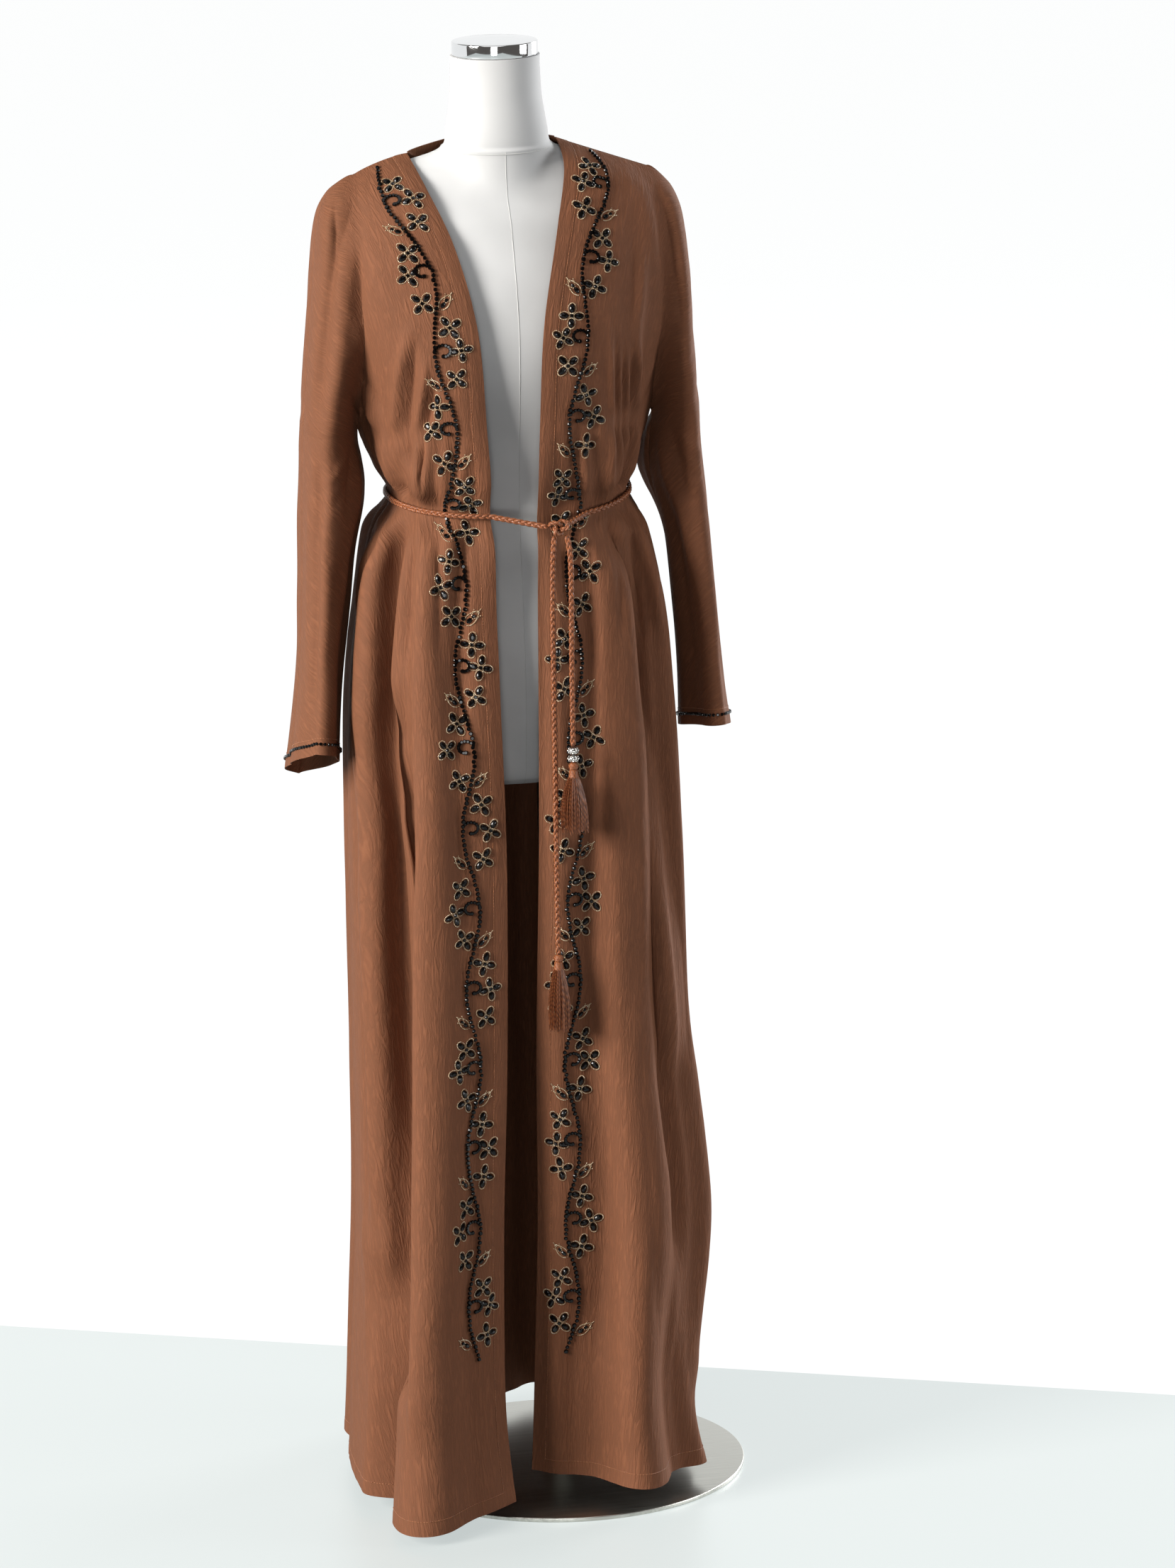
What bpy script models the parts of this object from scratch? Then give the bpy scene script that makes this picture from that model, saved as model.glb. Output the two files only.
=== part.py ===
"""Abaya cloak on a limbless dress form, built from its cut.

The cloak is an open kimono cut: two fronts and a back, each cut in one with its half sleeves. The seams are
the shoulder and overarm seam, and the side and underarm seam. A braided cord belt ties it at the front. The
form under it is a covered torso on a steel pole and plate. Metres, +Z up, front towards -Y, +X to the
viewer's right, which is the wearer's left. The origin is on the floor, under the middle of the base plate.
"""

import math
from collections import namedtuple

import bmesh
import bpy
from mathutils import Vector

# Driving dimensions
FORM_X = -0.038  # the form's axis, beside the pole that enters it off centre
WALL = 0.0014  # cloth with its turned edge
SEAM_GAP = 0.0003
SEAT_GAP = 0.0003

PLATE_RADIUS = 0.203
PLATE_THICKNESS = 0.005
PLATE_EDGE = 0.0012
FOOT_RADIUS = 0.024
FOOT_HEIGHT = 0.014
POLE_RADIUS = 0.0125
CAP_RADIUS = 0.0462
CAP_HEIGHT = 0.0150

CORD_RADIUS = 0.0033
KNOT_CENTRE = Vector((0.029, -0.1385, 1.0965))
KNOT_SIZE = Vector((0.0125, 0.0085, 0.0095))
KNOT_ROOM = 0.0022  # from the knot to the middle of the cord's cut ends
BELT_STATION = 6
HEM_STATION = 14
FOLD_FADE_IN = 0.8  # in stations
FOLD_FADE_OUT = 0.6
BELT_CREST = 0.0030  # how far the gathers stand out under the belt
GATHER_CREST = 0.0035  # how much further they stand out above and below it
GATHER_RISE = 0.8  # in stations
GATHER_HOLD = 0.7
GATHER_FADE = 1.5
BELT_EASE = 0.0016  # room for the cloth that swells above and below the belt
GATHERS_FRONT = 4
GATHERS_BACK = 4  # in each half

BODY_COLUMNS = 18
SLEEVE_COLUMNS = 5
BACK_COLUMNS = 14
NECK_COLUMNS = 3
UNDERARM = 4  # the station where body and sleeve part
SEAM_CALM = 0.08  # the share of a panel's width, next to a seam, over which folds die out
NECK_PULL = 0.6  # how squarely the back neckline turns
SLEEVE_LEAN = 0.35  # how far the sleeve's curve leans away from the body where it starts
SLEEVE_PULL = 0.85
MITRE_LIMIT = 5.0  # how many walls the inner face may stand off at a sharp fold
UNDERARM_LIMIT = 8.0

# Sections of the two fronts, from the shoulder seam to the hem, measured from the form's axis.
# edge: the front edge. corner: what the plan curve bends towards. side: the fold between body and sleeve
# above the underarm, and the side seam below it. pull: how squarely the curve turns. sag: hem dip.
FrontRow = namedtuple(
    "FrontRow",
    "name edge_x edge_y edge_z corner_x corner_y side_x side_y side_z pull sag",
)
FRONT_RIGHT = (
    FrontRow("shoulder", -0.101, 0.000, 1.4845, -0.130, 0.000, -0.160, 0.000, 1.4645, 0.50, 0.003),
    FrontRow("upper chest", -0.088, -0.046, 1.451, -0.130, -0.050, -0.164, -0.036, 1.432, 0.50, 0.004),
    FrontRow("chest", -0.066, -0.090, 1.390, -0.148, -0.098, -0.163, -0.050, 1.368, 0.50, 0.002),
    FrontRow("bust", -0.049, -0.118, 1.305, -0.148, -0.130, -0.160, -0.042, 1.285, 0.55, 0.000),
    FrontRow("underarm", -0.042, -0.118, 1.195, -0.130, -0.134, -0.162, 0.000, 1.190, 0.58, 0.000),
    FrontRow("blouse", -0.040, -0.112, 1.150, -0.138, -0.126, -0.144, 0.000, 1.148, 0.58, -0.004),
    FrontRow("belt", -0.039, -0.103, 1.106, -0.128, -0.108, -0.129, 0.000, 1.115, 0.58, 0.000),
    FrontRow("under belt", -0.037, -0.112, 1.066, -0.150, -0.122, -0.149, 0.000, 1.074, 0.58, 0.000),
    FrontRow("high hip", -0.037, -0.120, 1.000, -0.170, -0.142, -0.165, 0.000, 1.000, 0.60, 0.000),
    FrontRow("hip", -0.036, -0.128, 0.890, -0.186, -0.160, -0.179, 0.000, 0.890, 0.60, 0.000),
    FrontRow("thigh", -0.035, -0.136, 0.740, -0.190, -0.180, -0.184, 0.000, 0.740, 0.60, 0.000),
    FrontRow("knee", -0.041, -0.145, 0.520, -0.192, -0.212, -0.186, 0.000, 0.520, 0.60, 0.000),
    FrontRow("calf", -0.051, -0.155, 0.320, -0.196, -0.245, -0.189, 0.000, 0.310, 0.62, 0.000),
    FrontRow("shin", -0.055, -0.165, 0.130, -0.208, -0.280, -0.199, 0.000, 0.130, 0.64, -0.004),
    FrontRow("hem", -0.049, -0.179, 0.022, -0.224, -0.300, -0.204, 0.000, 0.028, 0.66, -0.013),
)
FRONT_LEFT = (
    FrontRow("shoulder", 0.061, 0.000, 1.4940, 0.110, 0.000, 0.160, 0.000, 1.4590, 0.50, 0.000),
    FrontRow("upper chest", 0.061, -0.046, 1.468, 0.120, -0.052, 0.164, -0.036, 1.430, 0.50, 0.004),
    FrontRow("chest", 0.044, -0.090, 1.410, 0.148, -0.098, 0.164, -0.050, 1.362, 0.50, 0.002),
    FrontRow("bust", 0.021, -0.122, 1.310, 0.147, -0.130, 0.159, -0.042, 1.280, 0.55, 0.000),
    FrontRow("underarm", 0.014, -0.124, 1.205, 0.128, -0.136, 0.160, 0.000, 1.195, 0.58, 0.000),
    FrontRow("blouse", 0.012, -0.118, 1.150, 0.132, -0.129, 0.139, 0.000, 1.148, 0.58, -0.004),
    FrontRow("belt", 0.011, -0.108, 1.098, 0.126, -0.112, 0.128, 0.000, 1.115, 0.58, 0.000),
    FrontRow("under belt", 0.010, -0.114, 1.060, 0.146, -0.124, 0.144, 0.000, 1.074, 0.58, 0.000),
    FrontRow("high hip", 0.008, -0.120, 1.000, 0.166, -0.142, 0.163, 0.000, 1.000, 0.60, 0.000),
    FrontRow("hip", 0.006, -0.123, 0.890, 0.172, -0.160, 0.170, 0.000, 0.890, 0.60, 0.000),
    FrontRow("thigh", 0.003, -0.123, 0.740, 0.174, -0.180, 0.174, 0.000, 0.740, 0.60, 0.000),
    FrontRow("knee", -0.004, -0.121, 0.520, 0.178, -0.205, 0.178, 0.000, 0.520, 0.60, 0.000),
    FrontRow("calf", -0.007, -0.121, 0.320, 0.194, -0.220, 0.194, 0.000, 0.310, 0.60, 0.000),
    FrontRow("shin", -0.014, -0.119, 0.140, 0.174, -0.238, 0.172, 0.000, 0.140, 0.60, 0.000),
    FrontRow("hem", -0.019, -0.119, 0.036, 0.192, -0.250, 0.177, 0.000, 0.027, 0.60, -0.003),
)

# Sections of the back. centre: the middle of the back. corner_share: how far out the plan turns, as a share of
# the side seam. side_y: the fold between body and sleeve.
BackRow = namedtuple("BackRow", "name centre_y centre_z corner_share corner_y side_y pull")
BACK = (
    BackRow("neckline", 0.072, 1.4935, 1.00, 0.010, 0.000, 0.50),
    BackRow("upper back", 0.090, 1.450, 1.00, 0.070, 0.040, 0.50),
    BackRow("shoulder blades", 0.104, 1.385, 1.00, 0.112, 0.055, 0.50),
    BackRow("mid back", 0.110, 1.300, 0.92, 0.128, 0.045, 0.55),
    BackRow("underarm", 0.108, 1.205, 0.80, 0.128, 0.000, 0.58),
    BackRow("blouse", 0.104, 1.150, 0.94, 0.119, 0.000, 0.58),
    BackRow("belt", 0.094, 1.115, 0.99, 0.100, 0.000, 0.58),
    BackRow("under belt", 0.108, 1.074, 0.98, 0.118, 0.000, 0.58),
    BackRow("high hip", 0.126, 1.000, 0.96, 0.142, 0.000, 0.60),
    BackRow("hip", 0.138, 0.890, 0.93, 0.158, 0.000, 0.60),
    BackRow("thigh", 0.146, 0.740, 0.90, 0.170, 0.000, 0.60),
    BackRow("knee", 0.156, 0.520, 0.87, 0.184, 0.000, 0.60),
    BackRow("calf", 0.166, 0.320, 0.84, 0.200, 0.000, 0.60),
    BackRow("shin", 0.176, 0.135, 0.82, 0.214, 0.000, 0.60),
    BackRow("hem", 0.182, 0.024, 0.82, 0.222, 0.000, 0.60),
)

# Sleeves: rows down to the underarm share the stations above, and rows after it are the free tube.
# inner: the fold, then the underarm seam. outer: the overarm seam. front and back: the reach of the curve.
SleeveRow = namedtuple("SleeveRow", "name inner_x outer_x outer_z front back slope")
SLEEVE_RIGHT = (
    SleeveRow("shoulder tip", -0.160, -0.187, 1.450, -0.002, 0.002, 0.0),
    SleeveRow("cap", -0.164, -0.199, 1.422, -0.044, 0.048, 0.0),
    SleeveRow("upper arm", -0.167, -0.206, 1.368, -0.076, 0.080, 0.0),
    SleeveRow("arm", -0.166, -0.214, 1.285, -0.086, 0.088, 0.0),
    SleeveRow("underarm", -0.160, -0.222, 1.190, -0.088, 0.090, 0.0),
    SleeveRow("elbow", -0.166, -0.225, 1.120, -0.089, 0.092, -0.05),
    SleeveRow("forearm", -0.172, -0.228, 1.020, -0.091, 0.094, -0.15),
    SleeveRow("above cuff", -0.185, -0.235, 0.915, -0.095, 0.096, -0.28),
    SleeveRow("cuff", -0.191, -0.246, 0.822, -0.101, 0.100, -0.37),
)
SLEEVE_LEFT = (
    SleeveRow("shoulder tip", 0.160, 0.186, 1.438, -0.002, 0.002, 0.0),
    SleeveRow("cap", 0.164, 0.196, 1.408, -0.044, 0.048, 0.0),
    SleeveRow("upper arm", 0.168, 0.200, 1.352, -0.076, 0.080, 0.0),
    SleeveRow("arm", 0.167, 0.204, 1.275, -0.084, 0.088, 0.0),
    SleeveRow("underarm", 0.157, 0.209, 1.195, -0.084, 0.090, 0.0),
    SleeveRow("elbow", 0.168, 0.214, 1.120, -0.084, 0.092, -0.05),
    SleeveRow("forearm", 0.176, 0.221, 1.020, -0.086, 0.094, -0.10),
    SleeveRow("above cuff", 0.184, 0.230, 0.915, -0.090, 0.096, -0.16),
    SleeveRow("cuff", 0.187, 0.239, 0.838, -0.096, 0.100, -0.20),
)

# Main folds. Place is a share of the panel's width, from the front edge or the centre back to the side
# seam. A ridge has a positive reach and a trough a negative one. start and end are stations.
Fold = namedtuple("Fold", "start end place_start place_end reach_start reach_end width_start width_end")
FOLDS_FRONT_RIGHT = (
    Fold(6.3, 14.2, 0.66, 0.68, -0.012, -0.055, 0.10, 0.13),
    Fold(9.0, 14.2, 0.36, 0.38, 0.004, 0.034, 0.22, 0.24),
    Fold(7.5, 13.0, 0.84, 0.76, -0.010, -0.012, 0.07, 0.08),
    Fold(6.5, 10.5, 0.40, 0.30, 0.009, 0.006, 0.08, 0.14),
    Fold(6.3, 9.5, 0.20, 0.18, -0.006, -0.004, 0.08, 0.10),
    Fold(4.2, 5.9, 0.70, 0.70, -0.004, -0.012, 0.10, 0.08),
    Fold(3.4, 5.9, 0.42, 0.48, 0.004, 0.010, 0.12, 0.09),
    Fold(3.6, 5.9, 0.22, 0.26, -0.003, -0.007, 0.08, 0.08),
)
FOLDS_FRONT_LEFT = (
    Fold(6.3, 13.6, 0.60, 0.80, 0.012, 0.016, 0.10, 0.12),
    Fold(10.5, 14.2, 0.40, 0.34, 0.006, 0.046, 0.16, 0.19),
    Fold(6.3, 12.5, 0.44, 0.56, -0.010, -0.014, 0.08, 0.10),
    Fold(6.3, 14.2, 0.07, 0.07, 0.004, 0.005, 0.06, 0.06),
    Fold(6.3, 13.0, 0.22, 0.20, -0.006, -0.010, 0.08, 0.12),
    Fold(12.0, 14.2, 0.70, 0.68, 0.002, 0.020, 0.10, 0.12),
    Fold(4.2, 5.9, 0.64, 0.64, -0.004, -0.012, 0.10, 0.08),
    Fold(3.4, 5.9, 0.38, 0.44, 0.004, 0.010, 0.12, 0.09),
    Fold(3.6, 5.9, 0.20, 0.22, -0.003, -0.007, 0.08, 0.08),
)
FOLDS_BACK = (
    Fold(6.3, 14.2, -0.78, -0.74, 0.008, 0.018, 0.10, 0.12),
    Fold(6.3, 14.2, -0.56, -0.52, -0.010, -0.022, 0.10, 0.12),
    Fold(6.3, 14.2, -0.34, -0.28, 0.010, 0.024, 0.10, 0.14),
    Fold(6.3, 14.2, -0.12, -0.06, -0.010, -0.018, 0.10, 0.12),
    Fold(6.3, 14.2, 0.12, 0.18, 0.010, 0.022, 0.10, 0.14),
    Fold(6.3, 14.2, 0.34, 0.42, -0.010, -0.022, 0.10, 0.12),
    Fold(6.3, 14.2, 0.58, 0.66, 0.010, 0.022, 0.10, 0.12),
    Fold(3.6, 5.9, -0.62, -0.60, -0.004, -0.012, 0.12, 0.10),
    Fold(3.4, 5.9, -0.24, -0.26, 0.004, 0.010, 0.12, 0.10),
    Fold(3.4, 5.9, 0.14, 0.12, -0.004, -0.010, 0.12, 0.10),
    Fold(3.6, 5.9, 0.50, 0.52, 0.004, 0.010, 0.12, 0.10),
)

# The covered torso: half widths and depths by height. power is the roundness of the ring.
TorsoRing = namedtuple("TorsoRing", "height half_width front back power")
TORSO_X = -0.003
TORSO = (
    TorsoRing(0.800, 0.120, 0.066, 0.080, 2.0),
    TorsoRing(0.806, 0.142, 0.082, 0.098, 2.1),
    TorsoRing(0.822, 0.155, 0.091, 0.110, 2.2),
    TorsoRing(0.890, 0.162, 0.098, 0.120, 2.3),
    TorsoRing(0.960, 0.157, 0.098, 0.116, 2.3),
    TorsoRing(1.030, 0.137, 0.092, 0.096, 2.3),
    TorsoRing(1.105, 0.117, 0.086, 0.082, 2.2),
    TorsoRing(1.170, 0.123, 0.092, 0.086, 2.2),
    TorsoRing(1.240, 0.134, 0.104, 0.092, 2.2),
    TorsoRing(1.290, 0.140, 0.108, 0.096, 2.2),
    TorsoRing(1.340, 0.144, 0.100, 0.096, 2.2),
    TorsoRing(1.385, 0.152, 0.084, 0.090, 2.1),
    TorsoRing(1.415, 0.160, 0.073, 0.082, 2.0),
    TorsoRing(1.4350, 0.162, 0.058, 0.068, 1.7),
    TorsoRing(1.4520, 0.156, 0.050, 0.058, 1.35),
    TorsoRing(1.4640, 0.141, 0.045, 0.050, 1.2),
    TorsoRing(1.4717, 0.120, 0.041, 0.044, 1.15),
    TorsoRing(1.4780, 0.092, 0.041, 0.040, 1.25),
    TorsoRing(1.4838, 0.070, 0.045, 0.041, 1.55),
    TorsoRing(1.4905, 0.0575, 0.0490, 0.0470, 2.0),
    TorsoRing(1.508, 0.0545, 0.0500, 0.0530, 2.0),
    TorsoRing(1.540, 0.0495, 0.0485, 0.0500, 2.0),
    TorsoRing(1.570, 0.0480, 0.0475, 0.0485, 2.0),
    TorsoRing(1.585, 0.0480, 0.0475, 0.0480, 2.0),
)
TORSO_SIDES = 32

# Routes of the belt's hanging ends, from the knot down, as points of the cord's middle line.
LONG_END_ROUTE = (
    (0.0240, -0.1400, 1.0871),
    (0.0210, -0.1440, 1.060),
    (0.0195, -0.1450, 1.000),
    (0.0190, -0.1450, 0.920),
    (0.0185, -0.1455, 0.840),
    (0.0180, -0.1460, 0.760),
    (0.0175, -0.1465, 0.680),
    (0.0175, -0.1465, 0.6280),
)
SHORT_END_ROUTE = (
    (0.0375, -0.1400, 1.0876),
    (0.0395, -0.1475, 1.062),
    (0.0390, -0.1495, 1.010),
    (0.0380, -0.1510, 0.950),
    (0.0375, -0.1520, 0.900),
    (0.0370, -0.1525, 0.8590),
)
CORD_STEP = 0.016  # between the points of a cord's tube

TASSEL_STRANDS = 34
TASSEL_LONG = 0.086
TASSEL_LONG_SPREAD = 0.0125  # half the width of the strands' foot
TASSEL_SHORT = 0.078
TASSEL_SHORT_SPREAD = 0.0165
TASSEL_HEAD = 0.016
TASSEL_HEAD_RADIUS = 0.0058
STRAND_RADIUS = 0.00052
BEAD_HEIGHT = 0.0085
BEAD_RADIUS = 0.0062

COLOURS = {
    "crinkled crepe": ((0.165, 0.062, 0.036, 1.0), 0.85, 0.0),
    "braided cord": ((0.300, 0.130, 0.080, 1.0), 0.55, 0.0),
    "silver filigree": ((0.620, 0.600, 0.560, 1.0), 0.30, 1.0),
    "form cover": ((0.780, 0.760, 0.730, 1.0), 0.85, 0.0),
    "chrome": ((0.700, 0.710, 0.720, 1.0), 0.10, 1.0),
    "brushed steel": ((0.480, 0.480, 0.470, 1.0), 0.35, 1.0),
}


def clear_scene():
    for thing in list(bpy.data.objects):
        bpy.data.objects.remove(thing, do_unlink=True)


def make_collection(name):
    group = bpy.data.collections.new(name)
    bpy.context.scene.collection.children.link(group)
    return group


def make_materials():
    made = {}
    for name, (colour, roughness, metallic) in COLOURS.items():
        material = bpy.data.materials.new(name)
        material.use_nodes = True
        shader = material.node_tree.nodes["Principled BSDF"]
        shader.inputs["Base Color"].default_value = colour
        shader.inputs["Roughness"].default_value = roughness
        shader.inputs["Metallic"].default_value = metallic
        made[name] = material
    return made


def bezier(a, b, c, d, t):
    s = 1.0 - t
    return a * s ** 3 + b * (3 * s * s * t) + c * (3 * s * t * t) + d * t ** 3


def through(points, index):
    """The place at a fractional index on a smooth curve through the points."""
    last = len(points) - 1
    k = min(int(index), last - 1)
    t = index - k
    a, b = points[max(k - 1, 0)], points[k]
    c, d = points[k + 1], points[min(k + 2, last)]
    return 0.5 * (
        2 * b + (c - a) * t + (2 * a - 5 * b + 4 * c - d) * t ** 2 + (3 * b - a - 3 * c + d) * t ** 3
    )


def squared_curve(start, corner, end, pull, share):
    """A plan curve from start to end, drawn towards the corner."""
    return bezier(start, start.lerp(corner, pull), end.lerp(corner, pull), end, share)


def front_point(row, share):
    start = Vector((row.edge_x, row.edge_y, row.edge_z))
    corner = Vector((row.corner_x, row.corner_y, 0.5 * (row.edge_z + row.side_z)))
    end = Vector((row.side_x, row.side_y, row.side_z))
    place = squared_curve(start, corner, end, row.pull, share)
    place.z += row.sag * 4 * share * (1 - share)
    return place


def back_point(row, seam_row, share):
    """share runs from the centre back to the side of the seam row's front."""
    corner_x = seam_row.side_x * row.corner_share
    start = Vector((0.0, row.centre_y, row.centre_z))
    corner = Vector((corner_x, row.corner_y, 0.5 * (row.centre_z + seam_row.side_z)))
    end = Vector((seam_row.side_x, row.side_y, seam_row.side_z))
    return squared_curve(start, corner, end, row.pull, share)


def neckline_or_shoulder(row, seam_row, share):
    """The back's top edge: the neckline to the shoulder's high point, then the shoulder seam."""
    turn = NECK_COLUMNS / BACK_COLUMNS
    high = Vector((seam_row.edge_x, 0.0, seam_row.edge_z))
    if share >= turn:
        along = (share - turn) / (1 - turn)
        return front_point(seam_row, along)
    middle = Vector((0.0, row.centre_y, row.centre_z))
    corner = Vector((seam_row.edge_x, row.centre_y, row.centre_z))
    return squared_curve(middle, corner, high, NECK_PULL, share / turn)


def sleeve_point(row, inner, reach, share):
    """Half of the sleeve's ring, from its inner fold or seam to the overarm seam."""
    outer = Vector((row.outer_x, 0.0, row.outer_z))
    near = Vector((inner.x + (outer.x - inner.x) * SLEEVE_LEAN, reach * SLEEVE_PULL, inner.z))
    far = Vector((row.outer_x, reach, row.outer_z))
    place = bezier(inner, near, far, outer, share)
    place.z += row.slope * place.y
    return place


def bump(offset):
    """A soft ridge of height 1 that ends at one width from its middle."""
    return math.cos(0.5 * math.pi * offset) ** 2 if abs(offset) < 1 else 0.0


def ease(value):
    value = min(max(value, 0.0), 1.0)
    return value * value * (3 - 2 * value)


def fold_reach(folds, station, place):
    total = 0.0
    for fold in folds:
        if not fold.start <= station <= fold.end:
            continue
        along = (station - fold.start) / (fold.end - fold.start)
        middle = fold.place_start + (fold.place_end - fold.place_start) * along
        reach = fold.reach_start + (fold.reach_end - fold.reach_start) * along
        width = fold.width_start + (fold.width_end - fold.width_start) * along
        fade = ease((station - fold.start) / FOLD_FADE_IN)
        if fold.end < HEM_STATION:
            fade *= ease((fold.end - station) / FOLD_FADE_OUT)
        total += reach * fade * bump((place - middle) / width)
    return total


def gathers(station, place, count):
    """Small gathers that stand out above and below the belt and are held flat under it."""
    away = abs(station - BELT_STATION)
    strength = BELT_CREST + GATHER_CREST * ease(away / GATHER_RISE)
    strength *= 1 - ease((away - GATHER_HOLD) / GATHER_FADE)
    return strength * 0.5 * (1 + math.cos(2 * math.pi * count * place))


UPPER_STATIONS = [0.0, 0.3, 0.65, 1.0, 1.5, 2.0, 2.5, 3.0, 3.5, 4.0]
LOWER_STATIONS = [4.5, 5.0, 5.5, 6.0, 6.5, 7.0, 7.5, 8.0, 8.6, 9.3, 10.0, 10.6, 11.2, 11.8, 12.4, 13.0, 13.5, 14.0]
SLEEVE_STATIONS = [4.5, 5.0, 5.7, 6.3, 7.0, 7.6, 8.0]


class Panel:
    """A cut piece of cloth: a lofted face, its wall, and the rules for its seams."""

    def __init__(self, name):
        self.name = name
        self.points = []
        self.on_seam = []
        self.faces = []

    def add(self, place, on_seam=False):
        self.points.append(place)
        self.on_seam.append(on_seam)
        return len(self.points) - 1

    def fill(self, grid, flip):
        for upper, lower in zip(grid, grid[1:]):
            for k in range(len(upper) - 1):
                face = (upper[k], upper[k + 1], lower[k + 1], lower[k])
                self.faces.append(face[::-1] if flip else face)


def outward(chains, station, k, turned_over):
    """The plan direction that leaves the cloth at a column of the grid."""
    before = through(chains[max(k - 1, 0)], station)
    after = through(chains[min(k + 1, len(chains) - 1)], station)
    along = after - before
    side = Vector((along.y, -along.x, 0.0))
    if turned_over:
        side = -side
    return side.normalized()


def body_grid(chains, places, folds, count, stations, ends_in_seam, turned_over):
    """Rows of body points. ends_in_seam: for the first and last column, whether it is a seam."""
    grid = []
    for station in stations:
        row = []
        for k, chain in enumerate(chains):
            here = through(chain, station)
            reach = fold_reach(folds, station, places[k]) + gathers(station, places[k], count)
            first, last = k == 0, k == len(chains) - 1
            seam = (first and ends_in_seam[0]) or (last and ends_in_seam[1])
            near_seam = 1.0
            if ends_in_seam[0]:
                near_seam = ease(abs(places[k] - places[0]) / SEAM_CALM)
            if ends_in_seam[1]:
                near_seam = min(near_seam, ease(abs(places[k] - places[-1]) / SEAM_CALM))
            place = here + outward(chains, station, k, turned_over) * reach * near_seam
            row.append((place, seam))
        grid.append(row)
    return grid


def part_from_seam(place, side_y):
    """Keeps a point on its own side of the seam plane, half a seam gap off it."""
    limit = 0.5 * SEAM_GAP
    y = min(place.y, -limit) if side_y < 0 else max(place.y, limit)
    return Vector((place.x, y, place.z))


def thicken(panel, side_y):
    """Vertices and faces of the closed wall. Seam rims lie in planes that face each other."""
    count = len(panel.points)
    around = [[] for _ in range(count)]
    for face in panel.faces:
        a, b, c, d = (panel.points[k] for k in face)
        normal = (c - a).cross(d - b).normalized()
        for k in face:
            around[k].append(normal)
    inner = []
    for k, place in enumerate(panel.points):
        direction = sum(around[k], Vector())
        limit = MITRE_LIMIT
        if panel.on_seam[k] == "underarm":
            direction = Vector((0.0, 0.0, -1.0))
            limit = UNDERARM_LIMIT
        elif panel.on_seam[k]:
            direction.y = 0.0
        direction.normalize()
        # far enough that the inner face clears every face that meets here by one wall
        least = min(direction.dot(normal) for normal in around[k])
        reach = WALL * min(limit, 1 / max(least, 0.01))
        inner.append(part_from_seam(place - direction * reach, side_y))
    edges = {}
    faces = []
    for a, b, c, d in panel.faces:
        for start, end in ((a, b), (b, c), (c, d), (d, a)):
            edges[(start, end)] = True
        # both faces of the wall are split along the same diagonal, so that they stay one wall apart
        for one, two, three in ((a, b, c), (a, c, d)):
            faces.append((one, two, three))
            faces.append((three + count, two + count, one + count))
    for a, b in edges:
        if (b, a) not in edges:
            faces.append((b, a, a + count))
            faces.append((b, a + count, b + count))
    return panel.points + inner, faces


def make_object(name, points, faces, material, group):
    mesh = bpy.data.meshes.new(name)
    mesh.from_pydata([tuple(place) for place in points], [], faces)
    mesh.validate()
    mesh.materials.append(material)
    thing = bpy.data.objects.new(name, mesh)
    group.objects.link(thing)
    return thing


def shifted(points):
    return [Vector((place.x + FORM_X, place.y, place.z)) for place in points]


def make_front(name, table, sleeve, folds, count, material, group):
    side_sign = -1 if table[0].edge_x < 0 else 1
    flip = side_sign > 0
    panel = Panel(name)
    shares = [k / BODY_COLUMNS for k in range(BODY_COLUMNS + 1)]
    chains = [[front_point(row, share) for row in table] for share in shares]
    turns = [k / SLEEVE_COLUMNS for k in range(1, SLEEVE_COLUMNS + 1)]
    sleeve_chains = []
    for turn in turns:
        chain = []
        for k, row in enumerate(sleeve):
            if k <= UNDERARM:
                inner = front_point(table[k], 1.0)
            else:
                inner = Vector((row.inner_x, 0.0, row.outer_z))
            chain.append(sleeve_point(row, inner, row.front, turn))
        sleeve_chains.append(chain)
    inner_chain = [front_point(table[k], 1.0) for k in range(UNDERARM + 1)]
    inner_chain += [Vector((row.inner_x, 0.0, row.outer_z)) for row in sleeve[UNDERARM + 1:]]

    ends = (False, True)
    upper = body_grid(chains, shares, folds, count, UPPER_STATIONS, ends, not flip)
    grid = []
    for station, row in zip(UPPER_STATIONS, upper):
        top = station == UPPER_STATIONS[0]
        under = station == UNDERARM
        line = []
        for k, (place, _) in enumerate(row):
            mark = top
            if under and k == BODY_COLUMNS:
                mark = "underarm"
            line.append(panel.add(part_from_seam(place, -1), mark))
        for k, chain in enumerate(sleeve_chains):
            place = through(chain, station)
            line.append(panel.add(part_from_seam(place, -1), top or k == SLEEVE_COLUMNS - 1))
        grid.append(line)
    panel.fill(grid, flip)

    split = grid[-1]
    body_rows = [split[: BODY_COLUMNS + 1]]
    lower = body_grid(chains, shares, folds, count, LOWER_STATIONS, ends, not flip)
    for row in lower:
        body_rows.append([panel.add(part_from_seam(place, -1), seam) for place, seam in row])
    panel.fill(body_rows, flip)

    sleeve_rows = [split[BODY_COLUMNS:]]
    for station in SLEEVE_STATIONS:
        line = [panel.add(part_from_seam(through(inner_chain, station), -1), True)]
        for k, chain in enumerate(sleeve_chains):
            place = part_from_seam(through(chain, station), -1)
            line.append(panel.add(place, k == SLEEVE_COLUMNS - 1))
        sleeve_rows.append(line)
    panel.fill(sleeve_rows, flip)
    points, faces = thicken(panel, -1)
    return make_object(name, shifted(points), faces, material, group)


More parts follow.
